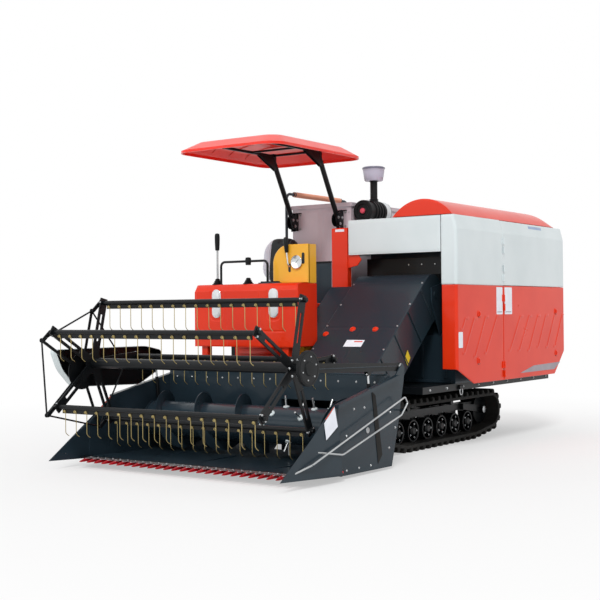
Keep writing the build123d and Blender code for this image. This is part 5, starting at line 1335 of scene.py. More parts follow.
    def levers(self) -> Mould:
        """Grips and gaiters on the console's hand rail and steering lever, a row of switches."""
        grip = [(0, 12), (4, 18), (60, 21), (118, 22), (140, 19), (146, 8), (147, 0)]
        shaft = [(0, 9), (60, 9), (300, 9), (301, 8)]
        gaiter = [(0, 46), (6, 46), (12, 34), (18, 36), (24, 27), (30, 29), (38, 20), (46, 21),
                  (54, 12)]
        knob = [(0, 14), (6, 22), (30, 27), (52, 24), (62, 12), (64, 0)]
        y = self.lever_y
        mould = Mould(PLASTIC, ZINC, GREY)
        mould.put(lathe(grip, (-792, y - 10, 1692), (0.04, -0.05, 1), 24))
        mould.put(lathe(shaft, (-800, y, 1401), (0.02, -0.03, 1), 14), 1)
        for x in (-800, -470):
            mould.put(lathe(gaiter, (x, y, 1400.3), ALONG_Z, 28))
        mould.put(lathe(knob, (-470, y, 1562), ALONG_Z, 24))
        mould.put(rounded((-250, 1340), (200, 80), 20, (1400, 1410), Axis.Z, 3), 2)
        return mould.blocks(*(((x, x + 24), (1320, 1350), (1409, 1420), 3)
                              for x in range(-330, -140, 38)))

    def floor(self) -> Mould:
        """A ribbed rubber mat on the floor and step, and the platform's rolled edge."""
        mould = Mould(RUBBER, BLACK)
        mould.blocks(((-980, -194), (1410, 1744), (660, 665), 2),
                     *(((-968, -204), (y, y + 8), (664, 668.5), 1.5)
                       for y in range(1422, 1730, 20)),
                     ((-1146, -1010), (1436, 1684), (392, 397), 2),
                     *(((-1140, -1016), (y, y + 8), (396, 400), 1.5)
                       for y in range(1446, 1660, 21)))
        return mould.put(tube([(-1004, 1262, 653), (-1004, 1750, 653)], 8), 1)

    def engine_trim(self) -> Mould:
        """Raised lid, louvres and hinges on the engine cover's top and front."""
        mould = Mould(RED, BLACK, ZINC)
        for z in range(640, 1060, 52):
            louvre = [(1761, z), (1748, z + 6), (1748, z + 12), (1761, z + 34)]
            mould.put(prism(louvre, -900, -200, Axis.X))
        mould.blocks(*((x, (1790, 2400), (1229, 1238), 4) for x in ((-930, -790), (-285, -170))))
        return mould.blocks(*(((-170, -146), (y - 30, y + 30), (1200, 1236), 3)
                              for y in (1850, 2340)), finish=2)

    def screen(self) -> Mould:
        """The radiator screen's punched sheet, behind its slats, its frame and a latch."""
        mould = Mould(SCREEN, BLACK, ZINC).blocks(((-977, -972), (1810, 2374), (616, 1178), 1))
        hoop_line = bent([(-992, y, z) for y, z in ((1772, 580), (1772, 1216), (2412, 1216),
                                                    (2412, 580))], 24)
        mould.put(tube(hoop_line, 7, 8), 1)
        return mould.blocks(((-1002, -988), (1782, 1812), (880, 960), 4), finish=2)

    def build(self) -> None:
        """Casts the operator's place."""
        self.console_front().cast("console_skin", Body.MACHINE, "red_paint")
        self.lamps().cast("headlamps", Body.MACHINE, "bowl_plastic")
        self.side_panel().cast("side_console_panel", Body.MACHINE, "yellow_paint",
                               ["side_console"])
        self.side_wall().cast("side_wall", Body.MACHINE, "slate_paint")
        self.levers().cast("console_levers", Body.MACHINE, "black_plastic")
        self.floor().cast("floor_mats", Body.MACHINE, "black_plastic")
        self.engine_trim().cast("engine_cover_trim", Body.MACHINE, "red_paint")
        self.screen().cast("screen_sheet", Body.SCREEN, "black_paint")


@dataclass
class Seat:
    """The padded seat: cushion and back, each blown up by a cloth run and then sewn."""

    middle: Pair = (-740.0, 1985.0)
    width: float = 440.0
    depth: float = 430.0
    thick: float = 110.0
    base: float = 1290.0
    back_foot: float = 1415.0
    back_height: float = 440.0
    back_thick: float = 100.0
    lean: float = 8.0
    voxel_mm: float = 7.0
    pressure: float = 4.0
    run_frames: int = 20
    seam_half: float = 7.0
    seam_depth: float = 7.0
    fill: float = 0.7

    def pillow(self, size: Sequence[float], corner: float, steps: int = 26) -> Shell:
        """A crowned closed form about the origin: a rounded rectangle in plan, its section a
        flattened ellipse, so that the sides draw in between the corners."""
        turn = np.linspace(-math.pi / 2 + 0.06, math.pi / 2 - 0.06, steps)[:, None]
        plan = rounded_outline((0, 0), 2, 2, corner, 10)
        plan *= 0.98 - 0.035 * (1 - np.max(np.abs(plan), -1, keepdims=True) ** 2)
        share = np.abs(np.cos(turn)) ** 0.32
        height = np.sign(turn) * np.abs(np.sin(turn)) ** 0.62 * size[2] / 2
        return loft(xyz(plan[:, 0] * share * size[0] / 2, plan[:, 1] * share * size[1] / 2,
                        height))

    def blow(self, piece: bpy.types.Object, cap: float) -> None:
        """Fills the pad with air in a cloth run and keeps the result.

        Args:
            piece: the pad's object.
            cap: how far, in millimetres, a point may move.
        """
        remesh = piece.modifiers.new("even", "REMESH")
        remesh.mode = "VOXEL"
        remesh.voxel_size = self.voxel_mm / 1000
        self._keep(piece)
        scene, rest = bpy.context.scene, self._read(piece.data.vertices, "co")
        cloth = piece.modifiers.new("air", "CLOTH")
        cloth.settings.use_pressure = True
        cloth.settings.uniform_pressure_force = self.pressure
        cloth.settings.effector_weights.gravity = 0.0
        for step in range(self.run_frames):
            scene.frame_set(step + 1)
        blown = piece.evaluated_get(bpy.context.evaluated_depsgraph_get()).to_mesh()
        move = self._read(blown.vertices, "co") - rest
        length = np.linalg.norm(move, axis=-1, keepdims=True)
        move *= np.minimum(1, cap / 1000 / np.maximum(length, 1e-9))
        piece.modifiers.clear()
        piece.data.vertices.foreach_set("co", (rest + move).ravel())
        scene.frame_set(1)

    @staticmethod
    def _read(items: bpy.types.bpy_prop_collection, field: str) -> Grid:
        """Reads a vector of every vertex or face."""
        values = np.empty(len(items) * 3)
        items.foreach_get(field, values)
        return values.reshape(-1, 3)

    @staticmethod
    def _keep(piece: bpy.types.Object) -> None:
        """Applies the piece's modifiers to its mesh."""
        graph = bpy.context.evaluated_depsgraph_get()
        made = bpy.data.meshes.new_from_object(piece.evaluated_get(graph))
        piece.modifiers.clear()
        piece.data = made

    def sew(self, piece: bpy.types.Object, seams: Sequence, side: Sequence) -> None:
        """Draws channels into the pad: each point sinks along its normal by a bell of its distance
        from the nearest seam line, on the faces that look towards the given side."""
        mesh = piece.data
        co, normal = self._read(mesh.vertices, "co"), self._read(mesh.vertex_normals, "vector")
        sink = np.zeros(len(co))
        for axis, value in seams:
            away = (co[:, axis] * 1000 - TO_FRAME[axis] - value) / self.seam_half
            sink = np.maximum(sink, np.exp(-away ** 2))
        sink *= np.clip(normal @ np.asarray(side, float), 0, 1) * self.seam_depth / 1000
        mesh.vertices.foreach_set("co", (co - normal * sink[:, None]).ravel())
        mesh.update()
        mesh.shade_smooth()
        soft = piece.modifiers.new("soft", "SUBSURF")
        soft.levels = soft.render_levels = 1
        self._keep(piece)

    def pipe(self, piece: bpy.types.Object, seam: float) -> None:
        """Paints the pad's right bolster, beyond the seam, pale: a painted highlight for the sheen
        of the black vinyl there.
        """
        mesh = piece.data
        mesh.materials.append(SHEEN_VINYL.material())
        pale = self._read(mesh.polygons, "center")[:, 0] * 1000 - TO_FRAME[0] < seam
        mesh.polygons.foreach_set("material_index", pale.astype(np.int32))
        mesh.update()

    def pad(self, node: str, shell: Shell, cap: float, seams: Sequence,
            side: Sequence) -> bpy.types.Object:
        """Casts, blows and sews the pad that stands for a node."""
        piece = Mould(VINYL).put(shell).cast(f"{node}_pad", Body.MACHINE, "seat_vinyl", [node], 60)
        self.blow(piece, cap)
        self.sew(piece, seams, side)
        return piece

    def build(self) -> None:
        """Casts the two pads and what holds them."""
        x, y = self.middle
        points, faces = self.pillow((self.width - 26, self.depth - 26, self.thick - 22), 0.35)
        points = points + (x, y, self.base + self.thick / 2)
        cushion = self.pad("seat_cushion", (points, faces), 9,
                           ((0, x - 120), (0, x + 120), (1, y - 130)), ALONG_Z)
        size = (self.width - 22, self.back_height - 18, self.back_thick - 18)
        points, faces = self.pillow(size, 0.72)
        cos, sin = math.cos(math.radians(self.lean)), math.sin(math.radians(self.lean))
        half = self.back_height / 2
        points = xyz(points[:, 0], points[:, 1] * sin - points[:, 2] * cos,
                     points[:, 2] * sin + points[:, 1] * cos)
        points += (x, y + self.depth / 2 - self.back_thick / 2 + 10 + half * sin,
                   self.back_foot + half)
        back = self.pad("seat_back", (points, faces), 8,
                        ((0, x - 100), (0, x + 100), (2, self.back_foot + 130)), FORWARD)
        # Painted highlight on the back's right bolster.
        self.pipe(back, x - 100)
        self.mount(x, y).cast("seat_mount", Body.MACHINE, "black_paint")

    def mount(self, x: float, y: float) -> Mould:
        """The seat's stand, its two rails, the back's bar and a slide handle."""
        mount = Mould(BLACK, ZINC).blocks(
            ((x - 130, x + 130), (y - 130, y + 130), (1230.3, 1294), 6),
            ((x - 160, x + 160), (y - 190, y - 150), (1262, 1292), 4),
            ((x - 160, x + 160), (y + 140, y + 180), (1262, 1292), 4),
            ((x - 60, x + 60), (y + 229, y + 247), (1230.3, 1540), 4))
        handle = [(x - 180, y - 110, 1276), (x - 180, y - 230, 1276), (x - 110, y - 230, 1276)]
        return mount.put(tube(bent(handle, 40), 7, 12), 1)


@dataclass
class Canopy:
    """The formed roof and its leaning posts, brackets and frame."""

    x: Pair = (-1030.0, 30.0)
    y: Pair = (1050.0, 2400.0)
    rim: float = 2530.0
    rise: float = 120.0
    thick: float = 22.0
    posts: Pair = (-745.0, -250.0)
    foot: Pair = (2375.0, 2020.0)
    head: Pair = (2060.0, 2560.0)

    def dome(self, share: Grid) -> Grid:
        """The roof's height over its rim at a share of the way out from its middle."""
        profile = np.interp(share, [0.0, 0.2, 0.45, 0.8, 1.0], [1.0, 1.0, 0.93, 0.62, 0.0])
        return profile * self.rise

    def roof(self) -> Mould:
        """One domed sheet: a rounded rectangle drawn in to the middle, its height following the
        dome's profile, with a rolled rim and five moulded ribs across its underside."""
        share = np.array([1.0, 1.0, 0.998, 0.992, 0.975, 0.95, 0.92, 0.88, 0.84, 0.8, 0.76, 0.74,
                          0.72, 0.68, 0.6, 0.52, 0.45, 0.36, 0.28, 0.2, 0.12, 0.05, 0.01])
        size, middle = np.array([np.ptp(self.x), np.ptp(self.y)]), np.mean([self.x, self.y], 1)
        height = self.dome(share)
        height[0] = -self.thick
        plan = rounded_outline((0, 0), *size, 150, 16)
        dense = np.concatenate([
            np.linspace(a, b, max(2, int(np.hypot(*(b - a)) / 40) + 1), endpoint=False)
            for a, b in zip(plan, np.roll(plan, -1, 0))])
        below = np.interp(share, [0.0, 0.97, 1.0], [11.0, 10.0, 0.0])
        skins = [xyz(*(middle + dense * spread[:, None, None]).transpose(2, 0, 1),
                     (self.rim + level)[:, None])
                 for spread, level in ((share, height), (share * (1 - 16 / 1060), height - below))]
        mould = Mould(ROOF).put(loft(np.concatenate([skins[0][::-1], skins[1]])))
        x = np.linspace(-0.9, 0.9, 40)
        for y in (-0.7, -0.35, 0.0, 0.35, 0.7):
            level = self.rim + self.dome(np.maximum(np.abs(x), abs(y))) - 13
            mould.put(tube(xyz(middle[0] + size[0] / 2 * x, middle[1] + size[1] / 2 * y, level),
                           5, 8))
        return mould

    def frame(self) -> Mould:
        """Oval posts on paired round cheeks, gussets at their heads and the square tubes under the
        roof."""
        mould = Mould(BLACK, ZINC)
        (y0, z0), (y1, z1) = self.foot, self.head
        cheek = [(-4, 61), (-3, 63), (3, 63), (4, 61), (4, 0)]
        lug = [(y0 + 56.6, 1912), (y0 + 56.6, 2078), (y0 + 20, 2078), (y0 - 10, 2040),
               (y0 - 10, 1950), (y0 + 20, 1912)]
        gusset = [(y1 + 44, z1 - 122), (y1 + 46, z1 + 4), (y1 - 200, z1 + 4), (y1 - 200, z1 - 8)]
        for x in self.posts:
            path = np.linspace((x, y0 - 6, z0 - 10), (x, y1 + 4, z1), 12)
            mould.put(tube(path, 27, 24, 0.74))
            for side in (-1, 1):
                face, out = x + side * 23, (side, 0, 0)
                mould.put(lathe(cheek, (face, y0, z0 - 30), out, 32))
                mould.put(prism(lug, face - 3, face + 3, Axis.X, 1))
                turn = np.radians((30, 150, 270))
                mould.bolts(15, round_x(face + side * 4, (y0, z0 - 30), 36, turn), out)
            mould.blocks(((x - 60, x + 60), (2431.7, 2439.7), (1910, 2080), 2))
            spots = [(x + sx, 2431.7, z) for sx in (-48, 48) for z in (1930, 2060)]
            mould.bolts(14, spots, FORWARD)
            for side in (-14, 14):
                mould.put(prism(gusset, x + side - 2, x + side + 2, Axis.X, 0.8))
            mould.blocks(((x - 12, x + 12), (y1 - 700, y1 + 46), (z1 - 2, z1 + 22), 4))
        cross = (self.posts[0] - 20, self.posts[1] + 20)
        mould.blocks(*((cross, (y, y + 16), (z1 + 4, z1 + 22), 3)
                       for y in (y1 - 700, y1 - 300, y1 + 12)))
        return mould.blocks(*(((x - 18, x + 18), (y, y + 36), (z1 + 20, top), 3)
                              for x in self.posts for y, top in ((y1 - 700, 2585), (y1 + 6, 2590))))

    def build(self) -> None:
        """Casts the roof and its frame."""
        self.roof().cast("canopy_roof", Body.MACHINE, "canopy_plastic", ["canopy"], 50)
        self.frame().cast("canopy_posts", Body.MACHINE, "black_paint", ["canopy_frame"])


# Cutting table

@dataclass
class Table:
    """Feeder cover, trough trim, guards, the dividers' outer dress and the auger."""

    half: float = 1042.0
    auger_at: Pair = (740.0, 315.0)
    auger_r: float = 225.0
    tube_r: float = 140.0
    pitch: float = 400.0
    feeder_x: Pair = (100.0, 800.0)
    feeder_up: float = 170.0
    cover_run: Pair = (40.0, 1190.0)
    pivot: Pair = (2210.0, 1300.0)
    toe: Pair = (1060.0, 330.0)
    trough_back: float = 1001.0
    guard_pitch: float = 76.2
    guard_count: int = 26
    guard_z: float = 76.6
    skid_at: Pair = (330.0, 66.0)

    @property
    def slope(self) -> float:
        """The feeder's slope in radians."""
        return math.atan2(self.pivot[1] - self.toe[1], self.pivot[0] - self.toe[0])

    def on_feeder(self, across: Grid | float, along: Grid | float, lift: Grid | float) -> Grid:
        """Points on the feeder's upper face: along its slope down from the pivot, lifted off it."""
        c, s = math.cos(self.slope), math.sin(self.slope)
        y0, z0 = self.pivot[0] - s * self.feeder_up, self.pivot[1] + c * self.feeder_up
        return xyz(across, y0 - along * c - lift * s, z0 - along * s + lift * c)

    def feeder_skin(self) -> Mould:
        """The feeder's upper face: a pressed cover in three fields with its latches, blank sign
        and rim bars; the fields sink in smooth steps along the lines between them."""
        mould = Mould(FEEDER_WITH_REFLECTION, RED, PAPER, ZINC, GOLD)
        (low, high), (x0, x1) = self.cover_run, self.feeder_x
        across, down = fine(x0 + 2, x1 - 2, 60, 8), fine(low, high, 90, 8)
        a, d = np.meshgrid(across, down, indexing="ij")
        lift = 4 - 3 * step_up(1 - np.abs(d - 620) / 7)
        lift -= 3 * step_up(1 - np.abs(a - 470) / 7) * (d > 620)
        rim = np.minimum(np.minimum(a - across[0], across[-1] - a), np.minimum(d - low, high - d))
        mould.put(sheet(self.on_feeder(a, d, lift - curled(rim, 4)), -2.0))
        facing = (0, -math.sin(self.slope), math.cos(self.slope))
        knob = [(0, 27), (3, 27), (8, 22), (12, 20), (14, 14), (14, 0)]
        for x, along in ((151, 700), (384, 640), (598, 640)):
            mould.put(lathe(knob, self.on_feeder(x, along, 3), facing, 24), 1)
        for (a, b), (c, d), lift, thick, finish in (((392, 560), (770, 850), 5.4, 1.4, 2),
                                                    ((470, 548), (786, 796), 7.0, 0.8, 1)):
            corners = ((a, c), (b, c), (b, d), (a, d))
            mould.put(plate([self.on_feeder(*spot, lift) for spot in corners], thick), finish)
        for along in (140.0, 420.0, 700.0, 980.0):
            mould.put(tube(self.on_feeder(x1 + 4, along, np.array([-4.0, -336.0])), 9, 8, 0.5))
        diamond = [(806.4, 1758 + dy, 790 + dz)
                   for dy, dz in ((0, 62), (44, 0), (0, -62), (-44, 0))]
        mould.put(plate(diamond, 1.2), 4)
        x, along = np.meshgrid((118, 782), (60, 330, 600, 880, 1150), indexing="ij")
        return mould.bolts(10, self.on_feeder(x, along, 4), facing, 3)

    def flight(self, start: float, end: float, hand: int) -> Shell:
        """A screw flight: the radius and the turn are the two parameters; X runs with the turn."""
        turns = abs(end - start) / self.pitch
        t = np.linspace(0, 1, int(turns * 44))[:, None]
        r = np.array([self.tube_r - 4, (self.tube_r + self.auger_r) / 2, self.auger_r])
        angle = hand * 2 * math.pi * turns * t
        y, z = self.auger_at
        return sheet(xyz(start + (end - start) * t + 2.5, y + r * np.cos(angle),
                         z + r * np.sin(angle)), 5.0)

    def auger(self) -> Mould:
        """The cross auger: tube, two opposed flights, fingers with white guides, a stub shaft."""
        mould = Mould(SLATE, ZINC, WHITE)
        at = self.auger_at
        drum = [(0, 60), (0, 138), (3, 140), (1967, 140), (1970, 138), (1970, 60)]
        mould.put(lathe(drum, (-985, *at), ALONG_X, 56))
        shaft = [(0, 20), (2, 22), (2110, 22), (2112, 20)]
        mould.put(lathe(shaft, (-1056, *at), ALONG_X, 20), 1)
        mould.put(self.flight(-973, self.feeder_x[0] + 40, 1))
        mould.put(self.flight(973, self.feeder_x[1] - 40, 1))
        for k in range(8):
            x, angle = self.feeder_x[0] + 110 + 68 * k, math.radians(137.5 * k)
            for sign in (1, -1):
                out = np.array([0, sign * math.cos(angle), sign * math.sin(angle)])
                mould.put(lathe([(130, 8), (225, 8), (226, 6)], (x, *at), out, 12), 1)
                mould.put(lathe([(134, 26), (146, 24), (150, 16), (151, 9)], (x, *at), out, 16), 2)
        for x in (-970.0, 965.0):
            mould.put(lathe([(0, 141), (0, 150), (6, 150), (6, 141)], (x, *at), ALONG_X, 48))
        return mould

    def trough_trim(self) -> Mould:
        """Hem and bolts on the trough's back beam and a drip edge in front."""
        mould = Mould(SLATE, ZINC, BLACK)
        back = self.trough_back
        mould.put(tube([(-1041, back + 38, 694), (1041, back + 38, 694)], 9))
        x = np.linspace(-960, 960, 13)
        mould.bolts(11, xyz(x, back + 76, 655.0), ALONG_Y)
        mould.bolts(9, xyz(x, back - 7, 640.0), FORWARD)
        return mould.blocks(((-1040, 1040), (-11, 26), (72, 79), 1.5), finish=2)

    def guards(self) -> Mould:
        """Red pointed guards over the guard bar, each sloping down to its tip, and their bolts."""
        mould = Mould(GUARD, ZINC, BLACK)
        z = self.guard_z
        rings = [[(w, y, z - low), (w, y, z - top - 5), (w * 0.4, y, z - top),
                  (-w * 0.4, y, z - top), (-w, y, z - top - 5), (-w, y, z - low)]
                 for y, w, top, low in ((-14, 15, 0, 26), (-62, 15, 0, 26), (-68, 13, 1, 26),
                                        (-98, 10, 8, 27), (-124, 6.5, 15, 27), (-137, 2.6, 20, 25))]
        row = np.arange(self.guard_count) - (self.guard_count - 1) / 2
        spots = xyz(row * self.guard_pitch, 0.0, 0.0)
        mould.copies(loft(np.array(rings, float)), spots)
        mould.bolts(11, spots + (20, -36, z), ALONG_Z)
        bar = (0.3 - self.half, self.half - 0.3)
        return mould.blocks((bar, (-44, -12.3), (z - 12, z), 1.5), finish=2)

    def divider_trim(self, side: int) -> Mould:
        """Outer dress of a divider: bright crop rods, blank label and orange reflector on its
        nose, rubber strips down the side plate, a skid roller and bolts."""
        mould = Mould(SLATE, ZINC, PAPER, AMBER, RUBBER, GUARD, BLACK)
        mirror = np.array([side, 1, 1])
        route = [(1061, -183, 113), (1104, -40, 157), (1116, 1167, 527), (1116, 1205, 480),
                 (1116, 1114, 398), (1104, 332, 187), (1086, 150, 214), (1060, 60, 228)]
        mould.put(tube(bent(route * mirror, 14), 6.8), 1)
        label = [(1058.5, 300, 512), (1083, 300, 380), (1076, 170, 300), (1059.5, 170, 412)]
        mould.put(plate(label * mirror, -side * 2.0), 2)
        reflector = [(1043, 300, 505), (1056, 300, 516), (1057, 196, 438), (1044, 196, 430)]
        mould.put(plate(reflector * mirror, side * 3.0), 3)
        for outline, span, bevel in (
                ([(300, 60), (360, 60), (352, 520), (322, 520)], (1050, 1055), 1.5),
                ([(880, 60), (940, 120), (850, 560), (800, 590)], (1050.5, 1054), 1)):
            mould.put(prism(outline, *sorted(side * x for x in span), Axis.X, bevel), 4)
        x, skid = min(side * 1052, side * 1098), self.skid_at
        mould.put(lathe([(0, 24), (4, 30), (42, 30), (46, 24)], (x, *skid), ALONG_X, 24), 6)
        mould.put(lathe([(0, 12), (50, 12), (52, 8)], (x - 1, *skid), ALONG_X, 12), 5)
        spots = [(side * 1050, y, z) for y, z in (
            (460, 60), (620, 60), (780, 60), (460, 300), (1040, 160), (1060, 420), (700, 480),
            (560, 480), (1130, 300))]
        return mould.bolts(10, spots, (side, 0, 0))

    def build(self) -> None:
        """Casts the table's pieces."""
        self.feeder_skin().cast("feeder_cover", Body.TABLE, "slate_paint")
        self.auger().cast("cross_auger", Body.AUGER, "slate_paint", ["auger"])
        self.trough_trim().cast("trough_trim", Body.TABLE, "slate_paint")
        self.guards().cast("knife_guards", Body.TABLE, "red_paint", ["cutter_bar"])
        for side, name in ((LEFT, "left"), (RIGHT, "right")):
            self.divider_trim(side).cast(f"divider_trim_{name}", Body.TABLE, "slate_paint")


@dataclass
class Reel:
    """Tine bars with spring tines, spider blocks, tie rods, end shield and arm fittings."""

    hub: Pair = (0.0, 790.0)
    radius: float = 470.0
    phase: float = 31.3
    bars: int = 5
    end: float = 972.0
    tines: int = 17
    span: float = 1740.0
    strip_z: float = -31.0
    crank: Pair = (-70.0, -60.0)
    crank_r: float = 15.0
    spider_x: float = 940.0
    arm_x: float = 1036.0

    def bar_at(self, k: int) -> Grid:
        """(y, z) of bar k's axis at rest."""
        angle = math.radians(self.phase + 360 / self.bars * k)
        return np.add(self.hub, (-self.radius * math.cos(angle), self.radius * math.sin(angle)))

    def tine(self) -> Shell:
        """One spring tine about the bar's axis: a ring of wire round its clamp bolt, which points
        along Y, then a straight leg that hooks to the rear in its last sixth."""
        turn = np.linspace(math.pi * 3.2, 0, 22)
        coil = xyz(9 * np.cos(turn), np.linspace(-12, -5, 22), self.strip_z + 9 * np.sin(turn))
        t = np.array([0.1, 0.45, 0.8, 0.86, 0.91, 0.95, 1.0])
        hook = np.maximum(0, (t - 0.82) / 0.18)
        leg = xyz(9.0, -5 + 34 * hook ** 1.8, self.strip_z - (213 + self.strip_z) * t)
        return tube(np.concatenate([coil, leg]), 2.7, 5)

    def bar(self, k: int) -> Mould:
        """Tine bar k: tube, clamp strip under it, tines with their clamp bolts, and the crank."""
        y, z = eye = self.bar_at(k)
        mould = Mould(BLACK, SPRING, ZINC)
        length, half = 2 * self.end, self.span / 2
        pipe = [(0, 14), (2, 17), (length - 2, 17), (length, 14)]
        mould.put(lathe(pipe, (-self.end, y, z), ALONG_X, 20))
        mould.blocks(((-half - 24, half + 24), (y - 3.5, y + 3.5),
                      (z + self.strip_z - 15, z - 12), 1.2))
        spots = xyz(np.linspace(-half, half, self.tines), y, z)
        mould.copies(self.tine(), spots, 1)
        mould.bolts(10, spots + (0, -3.5, self.strip_z), FORWARD)
        ends = unit(np.array(self.crank))
        turn = np.linspace(0, math.pi, 8)[:, None]
        cap = self.crank_r * (np.cos(turn) * (-ends[1], ends[0]) + np.sin(turn) * ends)
        outline = np.concatenate([eye + self.crank + cap, eye - cap])
        mould.put(prism(outline, -self.end - 7, -self.end + 4, Axis.X))
        pin = [(0, 4), (1, 6), (17, 6), (18, 5)]
        return mould.put(lathe(pin, (-self.end - 23, *(eye + self.crank)), ALONG_X, 12), 2)

    def blocks(self) -> Mould:
        """Split bearing blocks where the bars pass the spiders, with bolts, and hub flanges."""
        mould = Mould(BLACK, ZINC)
        shape = np.array([(-36, -14), (36, -14), (36, 14), (24, 26), (-24, 26), (-36, 14)])
        stud = [(-15, 8), (-14, 9), (4, 9), (6, 7)]
        for side in (LEFT, RIGHT):
            facing = (side, 0, 0)
            for k in range(self.bars):
                eye = self.bar_at(k)
                out = unit(eye - self.hub)
                across = np.array([-out[1], out[0]])
                for part in (-27, 27):
                    spot = (side * (self.spider_x + 4), *(eye + across * part))
                    mould.put(lathe(stud, spot, facing, 10), 1)
                face = sorted((side * (self.spider_x + 0.3), side * (self.spider_x + 6)))
                mould.put(prism(eye + shape @ np.array([across, out]), *face, Axis.X))
            mould.bolts(12, round_x(side * self.spider_x, self.hub, 60, circle(6)), facing)
        return mould

    def tie_rods(self) -> Mould:
        """The eccentric's five tie rods, from eye to eye, with a boss at each eye."""
        mould = Mould(BLACK)
        eyes = [self.bar_at(k) + self.crank for k in range(self.bars)]
        for here, there in zip(eyes, eyes[1:] + eyes[:1]):
            mould.put(tube([(-989.0, *here), (-989.0, *there)], 6.5))
            boss = [(0, 15), (1, 17), (9, 17), (10, 15)]
            mould.put(lathe(boss, (-985.0, *here), (-1, 0, 0), 20))
        return mould

    def shield(self) -> Mould:
        """The end shield's pan: a wall round a closed outline with round corners and a plate
        across it, in two skins, pale outside and black inside, on two brackets from the arm. The
        black inner skin is painted shade inside the pan."""
        corners = ((200, 900), (-290, 900), (-220, 745), (-80, 610), (620, 590), (860, 700),
                   (900, 860), (700, 900), (200, 900))
        path = bent([(0.0, *corner) for corner in corners], 46, 8)[:-1, 1:]
        run = unit(np.roll(path, -1, 0) - np.roll(path, 1, 0))
        inward = xyz(-run[:, 1], run[:, 0])
        edge, back, skin_thick, skin_step = -1044.0, -1110.0, 3.4, 3.6
        mould = Mould(WHITE, BLACK)
        # Skin 1, black, lines the inside of the pan: painted shade.
        for skin in (0, 1):
            near, far = skin_step * skin, skin_step * skin + skin_thick
            section = ((edge, near), (back + near, near), (back + near, far), (edge, far))
            wall = [xyz(x, *(path + inward * depth).T) for x, depth in section]
            mould.put(ring(np.stack(wall, 1)), skin)
            face = path + inward * (near + 1)
            mould.put(prism(face, back + near, back + far, Axis.X, 0.5), skin)
        for y in (200.0, 560.0):
            z = self.hub[1] - 0.037 * y
            mould.blocks(((back + 6, -self.arm_x - 0.3), (y, y + 50), (z - 20, z + 20), 3),
                         finish=1)
        return mould

    def arm_fittings(self) -> Mould:
        """The dished drive cover on the left arm, pressed ribs along both arms, and hub caps."""
        mould = Mould(PLASTIC, BLACK, ZINC, SLATE)
        x = self.arm_x
        cover = [(0, 118), (2, 121), (16, 121), (22, 116), (24, 104), (19, 98), (18, 60), (24, 50),
                 (30, 46), (31, 0)]
        mould.put(lathe(cover, (x + 2, *self.hub), ALONG_X, 48))
        mould.bolts(11, round_x(x + 21, self.hub, 80, circle(6, 0.3)), ALONG_X, 2)
        rib = [(150, 776), (1180, 752), (1180, 758), (150, 782)]
        cap = [(0, 30), (5, 30), (9, 22), (10, 0)]
        for side in (LEFT, RIGHT):
            face = sorted((side * (x - 2), side * (x + 4)))
            mould.put(prism(rib, *face, Axis.X), 3)
            mould.put(lathe(cap, (side * x, 1245, 744), (side, 0, 0), 24), 2)
        hub_cap = [(0, 54), (6, 54), (10, 46), (12, 0)]
        return mould.put(lathe(hub_cap, (-x, *self.hub), (-1, 0, 0), 32), 1)

    def build(self) -> None:
        """Casts the reel's pieces."""
        for k in range(self.bars):
            node = f"tine_bar_{k + 1}"
            self.bar(k).cast(f"tines_{k + 1}", node, "reel_steel", [node])
        self.blocks().cast("reel_blocks", Body.REEL, "black_paint")
        self.tie_rods().cast("eccentric_rods", Body.ECCENTRIC, "black_paint")
        self.shield().cast("end_shield_pan", Body.CARRIER, "white_paint", ["end_shield"])
        self.arm_fittings().cast("arm_fittings", Body.CARRIER, "black_paint")


# Studio

@dataclass(frozen=True)
class Sun:
    """A soft distant lamp: its strength, the angle it spans and its turn about X, Y and Z."""

    name: str
    power: float
    spread: float
    turn: tuple[float, float, float]


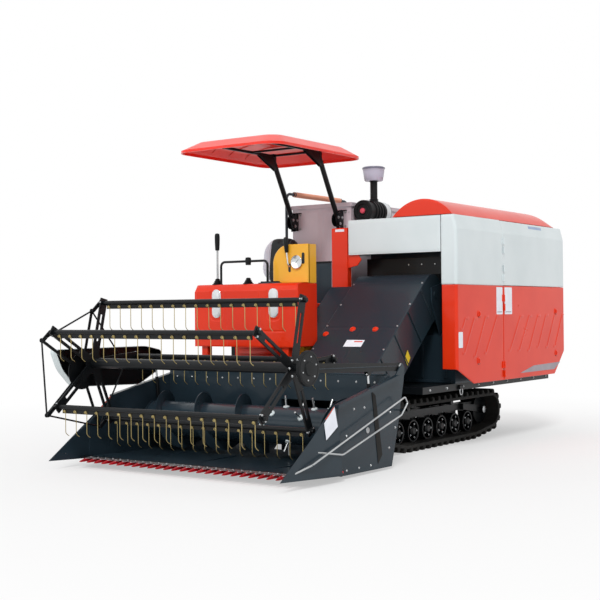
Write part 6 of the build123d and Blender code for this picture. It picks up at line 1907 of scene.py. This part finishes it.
@dataclass
class Studio:
    """Camera, pale floor and plain soft light.

    The floor takes the machine's shadow near it, and fades to the backdrop between two distances
    in metres. The camera sees the sky at full strength; the light that it casts is weaker.
    """

    place: tuple[float, float, float] = (5.398, -8.268, 1.168)
    azimuth: float = 34.957
    pitch: float = 0.577
    roll: float = -0.5055
    lens: float = 69.06
    sky_power: float = 0.62
    floor_white: float = 0.86
    fade: Pair = (2.4, 6.5)
    near_glow: float = 0.45
    suns: tuple[Sun, ...] = (Sun("key", 1.5, 14.0, (38.0, 26.0, 0.0)),
                             Sun("fill", 0.5, 50.0, (62.0, 0.0, -20.0)))

    def camera(self) -> None:
        """Sets the camera where the photograph was taken from."""
        az, up, roll = (math.radians(v) for v in (self.azimuth, self.pitch, self.roll))
        look = np.array([-math.sin(az) * math.cos(up), math.cos(az) * math.cos(up), math.sin(up)])
        right = np.array([math.cos(az), math.sin(az), 0.0])
        above = np.cross(right, look)
        across = math.cos(roll) * right + math.sin(roll) * above
        upward = math.cos(roll) * above - math.sin(roll) * right
        data = bpy.data.cameras.new("camera")
        data.lens, data.sensor_width, data.clip_end = self.lens, 36.0, 200.0
        eye = bpy.data.objects.new("camera", data)
        bpy.context.scene.collection.objects.link(eye)
        matrix = np.eye(4)
        matrix[:3] = np.stack([across, upward, -look, self.place], -1)
        eye.matrix_world = Matrix(matrix.tolist())
        bpy.context.scene.camera = eye

    def light(self) -> None:
        """A high soft sun from the machine's left front, a weak one from its right, a pale sky."""
        for sun in self.suns:
            data = bpy.data.lights.new(sun.name, "SUN")
            data.energy, data.angle = sun.power, math.radians(sun.spread)
            lamp = bpy.data.objects.new(sun.name, data)
            lamp.rotation_euler = [math.radians(v) for v in sun.turn]
            bpy.context.scene.collection.objects.link(lamp)
        world = bpy.data.worlds.new("sky")
        world.use_nodes = True
        tree = world.node_tree
        tree.nodes.clear()
        rays = add(tree, "LightPath", {}).outputs
        seen = rays["Is Camera Ray"]
        for kind in ("Is Glossy Ray", "Is Transmission Ray"):
            seen = add(tree, "Math", {0: seen, 1: rays[kind]}, operation="MAXIMUM").outputs[0]
        power = remap(tree, seen, 0.0, 1.0, (self.sky_power, 1.0))
        sky = add(tree, "Background", {"Color": (1, 1, 1, 1), "Strength": power})
        add(tree, "OutputWorld", {"Surface": sky.outputs[0]}).is_active_output = True
        bpy.context.scene.world = world

    def floor(self) -> None:
        """A wide round floor of rings of points."""
        radius = np.array([0.05, 4.0, 9.0, 30.0, 90.0])[:, None]
        turn = circle(48)
        grid = xyz(radius * np.cos(turn), radius * np.sin(turn), 0.0)
        mesh = bpy.data.meshes.new("floor")
        faces = quads(*grid.shape[:2], False, True)[:, ::-1].tolist() + [list(range(len(turn)))]
        mesh.from_pydata(grid.reshape(-1, 3).tolist(), [], faces)
        ground = bpy.data.objects.new("floor", mesh)
        bpy.context.scene.collection.objects.link(ground)
        made = bpy.data.materials.new("studio_floor")
        made.use_nodes = True
        tree = made.node_tree
        tree.nodes.clear()
        where = add(tree, "TexCoord", {}).outputs["Object"]
        away = add(tree, "VectorMath", {0: where}, operation="LENGTH").outputs["Value"]
        share = add(tree, "Math", {0: remap(tree, away, *self.fade, (self.near_glow, 1.0)),
                                   1: add(tree, "LightPath", {}).outputs["Is Camera Ray"]},
                    operation="MULTIPLY")
        paint = add(tree, "BsdfDiffuse", {"Color": (*[self.floor_white] * 3, 1)})
        glow = add(tree, "Emission", {"Color": (1, 1, 1, 1), "Strength": 1.0})
        mix = add(tree, "MixShader", {0: share.outputs[0], 1: paint.outputs[0],
                                      2: glow.outputs[0]})
        add(tree, "OutputMaterial", {"Surface": mix.outputs[0]})
        mesh.materials.append(made)

    def build(self) -> None:
        """Sets up the studio."""
        self.camera()
        self.light()
        self.floor()
        bpy.context.scene.view_settings.view_transform = "Standard"


def paint_frame() -> None:
    """Gives every construction node the finish of its slot, or its own where that differs."""
    for name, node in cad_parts.items():
        for place in node.material_slots:
            slot = place.material.name.split(".")[0] if place.material else ""
            finish = NODE_FINISH.get(name) or SLOT_FINISH.get(slot, GREY)
            place.material = finish.material()


def main() -> None:
    """Builds the whole machine."""
    logging.basicConfig(level=logging.INFO, format="%(message)s")
    Studio().build()
    paint_frame()
    for part in (Undercarriage(), SideDoors(), BodyCovers(), TankAndIntake(), OperatorPlace(),
                 Seat(), Canopy(), Table(), Reel()):
        LOG.info("dressing %s", type(part).__name__)
        part.build()
    bpy.context.view_layer.update()


if __name__ == "__main__":
    main()
